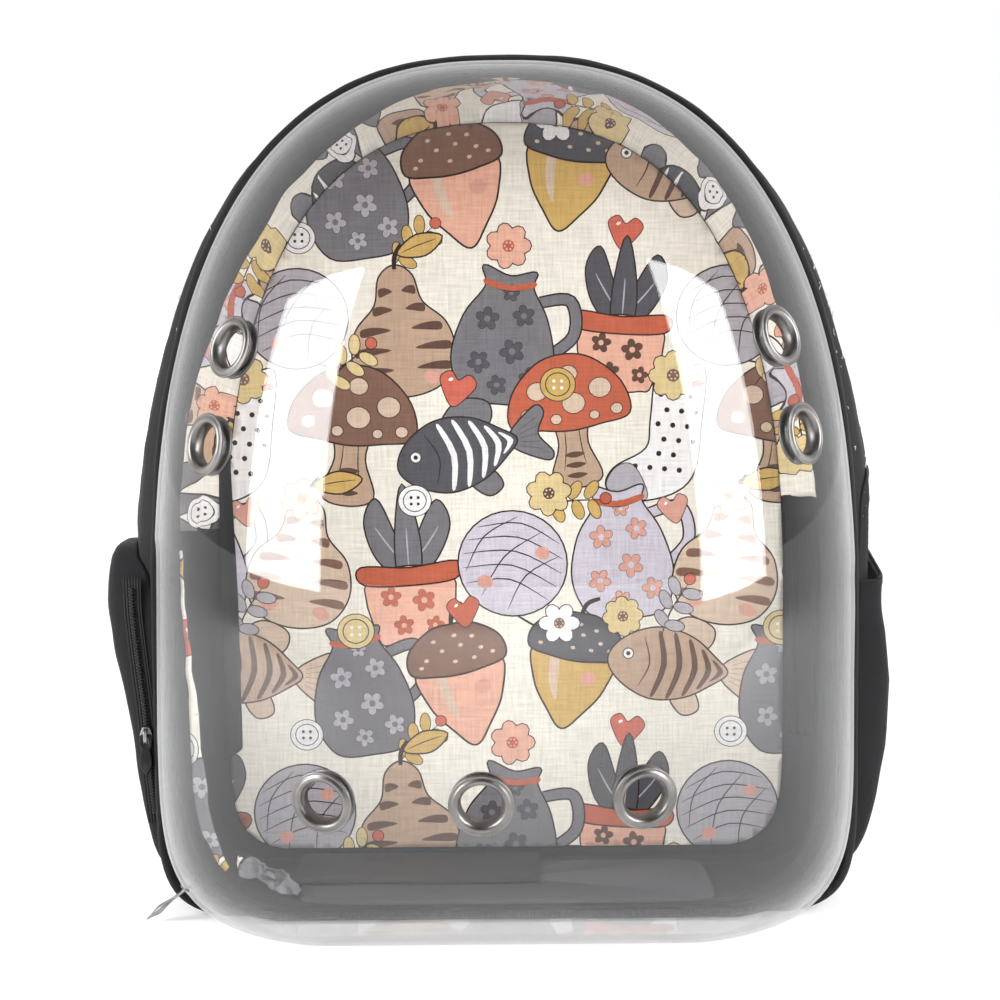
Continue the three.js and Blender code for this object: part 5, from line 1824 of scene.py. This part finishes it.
def pad_blank():
    """Closed form of the pad before it swells."""
    loops = []
    for depth, inset in ((0.0, 2.0), (0.25, 0.6), (0.55, 0.6), (0.8, 3.0), (0.95, 7.0), (1.0, 12.0)):
        loops.append(at_depth(pad_outline(inset, 120), PAD_FACE + 0.4 + depth * PAD_BLANK))
    line = pad_outline(12, 120)
    middle = np.array([0, PAD_MIDDLE])
    for share in (0.8, 0.6, 0.4, 0.2, 0.05):
        loops.append(at_depth(middle + (line - middle) * share, PAD_FACE + 0.4 + PAD_BLANK))
    return loft("back_pad_cloth", np.array(loops), CANVAS)


def points_of(piece):
    points = np.empty(len(piece.data.vertices) * 3, np.float32)
    piece.data.vertices.foreach_get("co", points)
    return points.reshape(-1, 3).astype(float)


def set_points(piece, points):
    piece.data.vertices.foreach_set("co", np.asarray(points, np.float32).ravel())
    piece.data.update()


def inflate(piece, voxel, pressure, cap, frames=20):
    """Remeshes a closed form, lets it swell as cloth, and caps how far any point moves."""
    modifier = piece.modifiers.new("remesh", "REMESH")
    modifier.mode = "VOXEL"
    modifier.voxel_size = voxel
    modifier.use_smooth_shade = True
    apply_modifiers(piece)
    start = points_of(piece)
    cloth = piece.modifiers.new("cloth", "CLOTH")
    cloth.settings.use_pressure = True
    cloth.settings.uniform_pressure_force = pressure
    cloth.settings.effector_weights.gravity = 0
    cloth.settings.quality = 5
    cloth.collision_settings.use_collision = False
    cloth.point_cache.frame_end = frames
    scene = bpy.context.scene
    for number in range(1, frames + 1):
        scene.frame_set(number)
    apply_modifiers(piece)
    scene.frame_set(1)
    moved = points_of(piece) - start
    length = np.linalg.norm(moved, axis=1, keepdims=True)
    set_points(piece, start + moved * np.minimum(1, cap * MM / np.maximum(length, 1e-9)))


def flat_uv(piece):
    """Cloth coordinates straight from a piece's width and height, in metres."""
    set_cloth_uv(piece.data, points_of(piece)[:, (0, 2)])


def channel_dip(x, z):
    """How far the pad is pressed in at a place by its sewn channels, from 0 to 1."""
    lines = [abs(x)]
    for level in CHANNEL_LEVELS:
        if abs(x) < CHANNEL_REACH:
            lines.append(abs(z - level - CHANNEL_CURVE * (abs(x) / CHANNEL_REACH) ** 1.5))
    return math.exp(-((min(lines) / CHANNEL_WIDTH) ** 2))


PAD_VOXEL, PAD_PRESSURE, PAD_SWELL, PAD_FILL = 0.005, 4.0, 3.0, 0.7
back_pad = pad_blank()
inflate(back_pad, PAD_VOXEL, PAD_PRESSURE, PAD_SWELL)
subdivide = back_pad.modifiers.new("finer", "SUBSURF")
subdivide.levels = 1
subdivide.render_levels = 1
apply_modifiers(back_pad)
pad_points = points_of(back_pad)
pad_skin, channel_floor, pad_low, pad_high = (
    RIM_Y + (PAD_FACE + stand) * MM for stand in (2, 4.6, 0.2, PAD_THICKNESS + 0.6)
)
for point in pad_points:
    if point[1] > pad_skin:
        dip = channel_dip(point[0] / MM, point[2] / MM)
        point[1] = point[1] + (min(point[1], channel_floor) - point[1]) * dip
    point[1] = min(max(point[1], pad_low), pad_high)
set_points(back_pad, pad_points)
flat_uv(back_pad)
back_pad.data.materials.clear()
back_pad.data.materials.append(PAD_CLOTH)
bag(back_pad, "black_cloth", "back_pad")

WELT_RADIUS = 1.9
pad_line = pad_outline(-0.6, 240)
pad_edge, pad_away = at_depth(pad_line, PAD_FACE + 2.0), outward_normals(pad_line)
pad_welt = loft("pad_welt", np.array([
    pad_edge + np.array([0, WELT_RADIUS * math.sin(a), 0]) + pad_away * WELT_RADIUS * math.cos(a)
    for a in 2 * np.pi * np.arange(8) / 8
]), TAPE, closed=True)
bag(pad_welt, "black_tape")


# Straps

STRAP_TOP, STRAP_END = 338, 132
STRAP_SPREAD = (52, 96)
STRAP_STAND = 44
STRAP_THICKNESS = 9
STRAP_WIDTH = 62
STRAP_ROWS = ((0, 0), (-0.09, 0.45), (-0.05, 0.85), (0.14, 1), (0.45, 0.98), (0.75, 0.78), (1, 0.5))
STRAP_STEPS = 33
WEBBING_WIDTH = 25
ANCHOR_HEIGHT, ANCHOR_LEVEL, ANCHOR_SPREAD, ANCHOR_THICKNESS = 24, 34, 112, 3
ADJUSTER = (33, 5, 20)
X_AXIS = (1.0, 0.0, 0.0)


def strap_path(sign):
    base = PAD_FACE + PAD_THICKNESS + STRAP_THICKNESS / 2 + 0.4
    return [(
        sign * (STRAP_SPREAD[0] + (STRAP_SPREAD[1] - STRAP_SPREAD[0]) * min(max(drop, 0), 1)),
        base + stand * STRAP_STAND,
        STRAP_TOP + (STRAP_END - STRAP_TOP) * drop,
    ) for drop, stand in STRAP_ROWS]


def strap_line(sign):
    """Middle of a strap with its directions across and out, its share of the way and its narrowing."""
    path = resample(catmull(strap_path(sign), 12), 110)
    share = np.linspace(0, 1, len(path))
    forward = tangents(path)
    side = np.array(X_AXIS) - forward * forward[:, :1]
    side /= np.linalg.norm(side, axis=1, keepdims=True)
    narrow = 1 - 0.34 * np.maximum((share - 0.86) / 0.14,
        0) ** 1.5 - 0.06 * np.maximum((0.06 - share) / 0.06, 0)
    return path, side, np.cross(forward, side), share, narrow


def strap(name, sign):
    """Foam strap, quilted along its edges, narrowing to its buckle end."""
    path, side, up, share, narrow = strap_line(sign)
    half = STRAP_WIDTH / 2
    across = np.concatenate([np.linspace(-1, 1, STRAP_STEPS), np.linspace(1, -1, STRAP_STEPS)])
    loops = []
    for i, point in enumerate(path):
        end = min(share[i] / 0.02, (1 - share[i]) / 0.02, 1)
        loop = []
        for k, u in enumerate(across):
            face = 1 if k < STRAP_STEPS else -1
            rise = STRAP_THICKNESS / 2 * (1 - abs(u) ** 7) ** 0.5
            stitch = math.exp(-((abs(u) - 0.83) / 0.035) ** 2) * 1.5
            soft = noise.noise(Vector((u * 1.4, share[i] * 16,
                sign * 3 + face))) * 0.35 * (1 - abs(u) ** 4)
            lift = max(rise - stitch, 0.3) * (0.6 + 0.4 * end) + soft - 0.1
            loop.append(point + side[i] * u * half * narrow[i] + up[i] * face * lift)
        loops.append(loop)
    return loft(name, np.array(loops), PAD_CLOTH)


def strap_binding(name, sign, edge):
    path, side, _, _, narrow = strap_line(sign)
    line = path + side * (edge * (STRAP_WIDTH / 2 - 0.6) * narrow)[:, None]
    return loft(name, sweep_loops(line, round_section(2.5, 10, 0.8), X_AXIS), TAPE)


def adjuster_place(sign):
    x, y, z = strap_path(sign)[-1]
    return np.array([x, y, z - 4.1 - ADJUSTER[2] / 2])


def adjuster(name, sign):
    """Ladder lock: a frame with three bars, the middle one raised and ribbed."""
    place = Vector(adjuster_place(sign))
    matrix = Matrix.Translation(place)
    width, thickness, height = ADJUSTER
    parts = []
    bars = (
        (-width / 2 + 1.6, 0, 3.2, height, 0), (width / 2 - 1.6, 0, 3.2, height, 0),
        (0, height / 2 - 1.6, width - 2, 3.2, 0), (0, -height / 2 + 1.6, width - 2, 3.2, 0),
        (0, 0, width - 2, 4.2, 0.5),
    )
    for k, (dx, dz, sx, sz, lift) in enumerate(bars):
        parts.append(rounded_box((sx, thickness - 1.2, sz), (dx, lift, dz), 0.9, matrix, f"{name}_{k}",
            BUCKLE))
    for k, dz in enumerate((-1.2, 0.0, 1.2)):
        parts.append(rounded_box((width - 9, 0.8, 0.5), (0, 2.6, dz), 0.18, matrix, f"{name}_rib{k}",
            BUCKLE, 2))
    return joined(name, parts)


def webbing_line(sign):
    x, y, z = adjuster_place(sign)
    start = np.array([x, y, z - ADJUSTER[2] / 2 - 0.8])
    foot = np.array([sign * ANCHOR_SPREAD, PAD_FACE + ANCHOR_THICKNESS / 2,
        ANCHOR_LEVEL + ANCHOR_HEIGHT + 0.4])
    middle = (start + foot) / 2 + np.array([0, 5, 0])
    return np.array([start, start - (0, 0, 7), middle, foot + (0, 0.5, 7), foot])


def flat_band(name, line, width, thickness, material, wide=X_AXIS, count=80):
    path = resample(catmull(line, 12), count)
    return loft(name, sweep_loops(path, band_section(width, thickness, thickness * 0.45, 4), wide),
        material)


WEBBING_THICKNESS = 1.5

# Webbing through the adjuster's slots, as (outward, up) from the adjuster's middle
THREADED = ((0.2, 13), (-0.2, 8), (-1.6, 5.4), (0.6, 4.2), (3.6, 2.6), (4.3, 0), (3.6, -2.8), (0.4, -4.6),
    (-1.2, -7),
            (-0.4, -10.5))

for side_name, sign in (("left", -1), ("right", 1)):
    bag(strap(f"{side_name}_strap_pad", sign), "black_cloth", f"{side_name}_shoulder_strap")
    for edge_name, edge in (("inner", -1), ("outer", 1)):
        bag(strap_binding(f"{side_name}_strap_{edge_name}_edge", sign, edge), "black_tape")
    bag(adjuster(f"{side_name}_lock", sign), "black_plastic", f"{side_name}_adjuster")
    threaded = adjuster_place(sign) + np.array([(0, out, up) for out, up in THREADED])
    line = np.vstack([threaded, webbing_line(sign)[1:]])
    web = flat_band(f"{side_name}_lower_web", line, WEBBING_WIDTH, WEBBING_THICKNESS, WEBBING, count=150)
    bag(web, "black_tape", f"{side_name}_webbing")
    patch_place = (sign * ANCHOR_SPREAD, PAD_FACE + ANCHOR_THICKNESS / 2, ANCHOR_LEVEL + ANCHOR_HEIGHT / 2)
    patch = rounded_box(
        (WEBBING_WIDTH + 10, ANCHOR_THICKNESS - 0.4, ANCHOR_HEIGHT), (0, 0, 0), 1.0,
        Matrix.Translation(Vector(patch_place)), f"{side_name}_anchor_patch", CANVAS)
    flat_uv(patch)
    bag(patch, "black_cloth", f"{side_name}_strap_anchor")

# Handle's path as shares of its half span and of how far it stands off
HANDLE = ((-1, 0), (-1.02, 0.4), (-0.75, 0.85), (0, 1), (0.75, 0.85), (1.02, 0.4), (1, 0))
HANDLE_HALF_SPAN, HANDLE_STAND, HANDLE_LEVEL = 34, 34, 384
HANDLE_WIDTH, HANDLE_THICKNESS = 24, 2.6
handle_line = np.array([
    (HANDLE_HALF_SPAN * across, PAD_FACE + HANDLE_STAND * stand, HANDLE_LEVEL) for across, stand in HANDLE
])
handle = flat_band("carry_handle", handle_line, HANDLE_WIDTH, HANDLE_THICKNESS, WEBBING, (0, 0, 1), 110)
bag(handle, "black_tape", "grab_handle")


# Floor, lights and camera

def plain(name, base, roughness=0.7):
    """Pale floor, lighter with distance so that it meets the backdrop."""
    n = Nodes(name)
    cloud = n.noise(3, 2)
    n.set(Base_Color=n.mix(cloud, times(base, 0.985), base), Roughness=roughness)
    away = n.add("ShaderNodeVectorMath", {"operation": "LENGTH"})
    n.put(away.inputs[0], n.place())
    n.set(Emission_Color=grey(1.0),
        Emission_Strength=n.ramp(away.outputs["Value"], *GLOW_REACH, *FLOOR_GLOW))
    return n.material


FLOOR_GLOW = (0.24, 0.72)
GLOW_REACH = (0.9, 3.0)
FLOOR_REACH = 60
FLOOR_LEVEL = -0.0006
floor_corners = np.array([(-1, -1, 0), (1, -1, 0), (1, 1, 0), (-1, 1, 0)], float) * FLOOR_REACH
floor = new_object("floor", floor_corners, [(0, 1, 2, 3)], plain("pale_floor", grey(0.86)), smooth=False)
floor.location.z = FLOOR_LEVEL
bpy.context.scene.view_settings.view_transform = "Standard"

ROOM_DIM, ROOM_BRIGHT = 0.14, 1.0


def studio_world():
    """White backdrop behind the bag, dimmer room on the camera's side."""
    world = bpy.data.worlds.new("studio")
    bpy.context.scene.world = world
    world.use_nodes = True
    tree = world.node_tree
    direction = tree.nodes.new("ShaderNodeTexCoord")
    split = tree.nodes.new("ShaderNodeSeparateXYZ")
    span = tree.nodes.new("ShaderNodeMapRange")
    span.interpolation_type = "SMOOTHSTEP"
    for key, value in (("From Min", -0.35), ("From Max", 0.45), ("To Min", ROOM_DIM),
            ("To Max", ROOM_BRIGHT)):
        span.inputs[key].default_value = value
    tree.links.new(direction.outputs["Generated"], split.inputs[0])
    tree.links.new(split.outputs["Y"], span.inputs["Value"])
    tree.links.new(span.outputs[0], tree.nodes["Background"].inputs["Strength"])
    tree.nodes["Background"].inputs["Color"].default_value = grey(1.0)


def area_lamp(name, place, facing, width, height, power):
    data = bpy.data.lights.new(name, "AREA")
    data.shape = "RECTANGLE"
    data.size = width
    data.size_y = height
    data.energy = power
    lamp = linked(bpy.data.objects.new(name, data))
    lamp.location = place
    lamp.rotation_mode = "QUATERNION"
    lamp.rotation_quaternion = facing.to_track_quat("-Z", "Y")
    return lamp


def upright_panel(name, near, far, foot, top, power):
    """Soft box standing on one edge, from its near edge to its far edge as seen from above."""
    near, far = Vector(near), Vector(far)
    middle = (near + far) / 2
    across = far - near
    facing = Vector((-across.y, across.x, 0))
    if facing.xy.dot(-middle) < 0:
        facing = -facing
    return area_lamp(name, (middle.x, middle.y, (foot + top) / 2), facing, across.length, top - foot,
        power)


studio_world()
BOX_TOP, BOX_POWER = 1.25, 33
upright_panel("left_box", (-0.826, -0.863), (-1.66, -0.50), 0.16, BOX_TOP, BOX_POWER)
upright_panel("right_box", (0.861, -0.79), (1.64, -0.46), 0.13, BOX_TOP, BOX_POWER)

# Wide soft light that the clear plastic doesn't mirror
FILL = {"width": 1.8, "height": 1.2, "power": 36}
fill_place = Vector((0.0, -2.1, 1.0))
front_fill = area_lamp("front_fill", fill_place, Vector((0.0, 0.0, 0.2)) - fill_place, **FILL)
front_fill.visible_glossy = False

TARGET = Vector((0, RIM_Y, 0.210))
DISTANCE = 1.0
ELEVATION = math.radians(5)
ROLL = math.radians(-0.5)
SENSOR = 36
FOCAL_WIDTHS = 2054 / 1000
camera_data = bpy.data.cameras.new("camera")
camera = linked(bpy.data.objects.new("camera", camera_data))
bpy.context.scene.camera = camera
camera_data.sensor_width = SENSOR
camera_data.lens = FOCAL_WIDTHS * SENSOR
camera_data.shift_x = -0.004
camera_data.clip_start = 0.05
camera.location = TARGET + Vector((0, -math.cos(ELEVATION), math.sin(ELEVATION))) * DISTANCE
look = (TARGET - camera.location).to_track_quat("-Z", "Y")
camera.rotation_mode = "QUATERNION"
camera.rotation_quaternion = look @ Quaternion((0, 0, 1), ROLL)
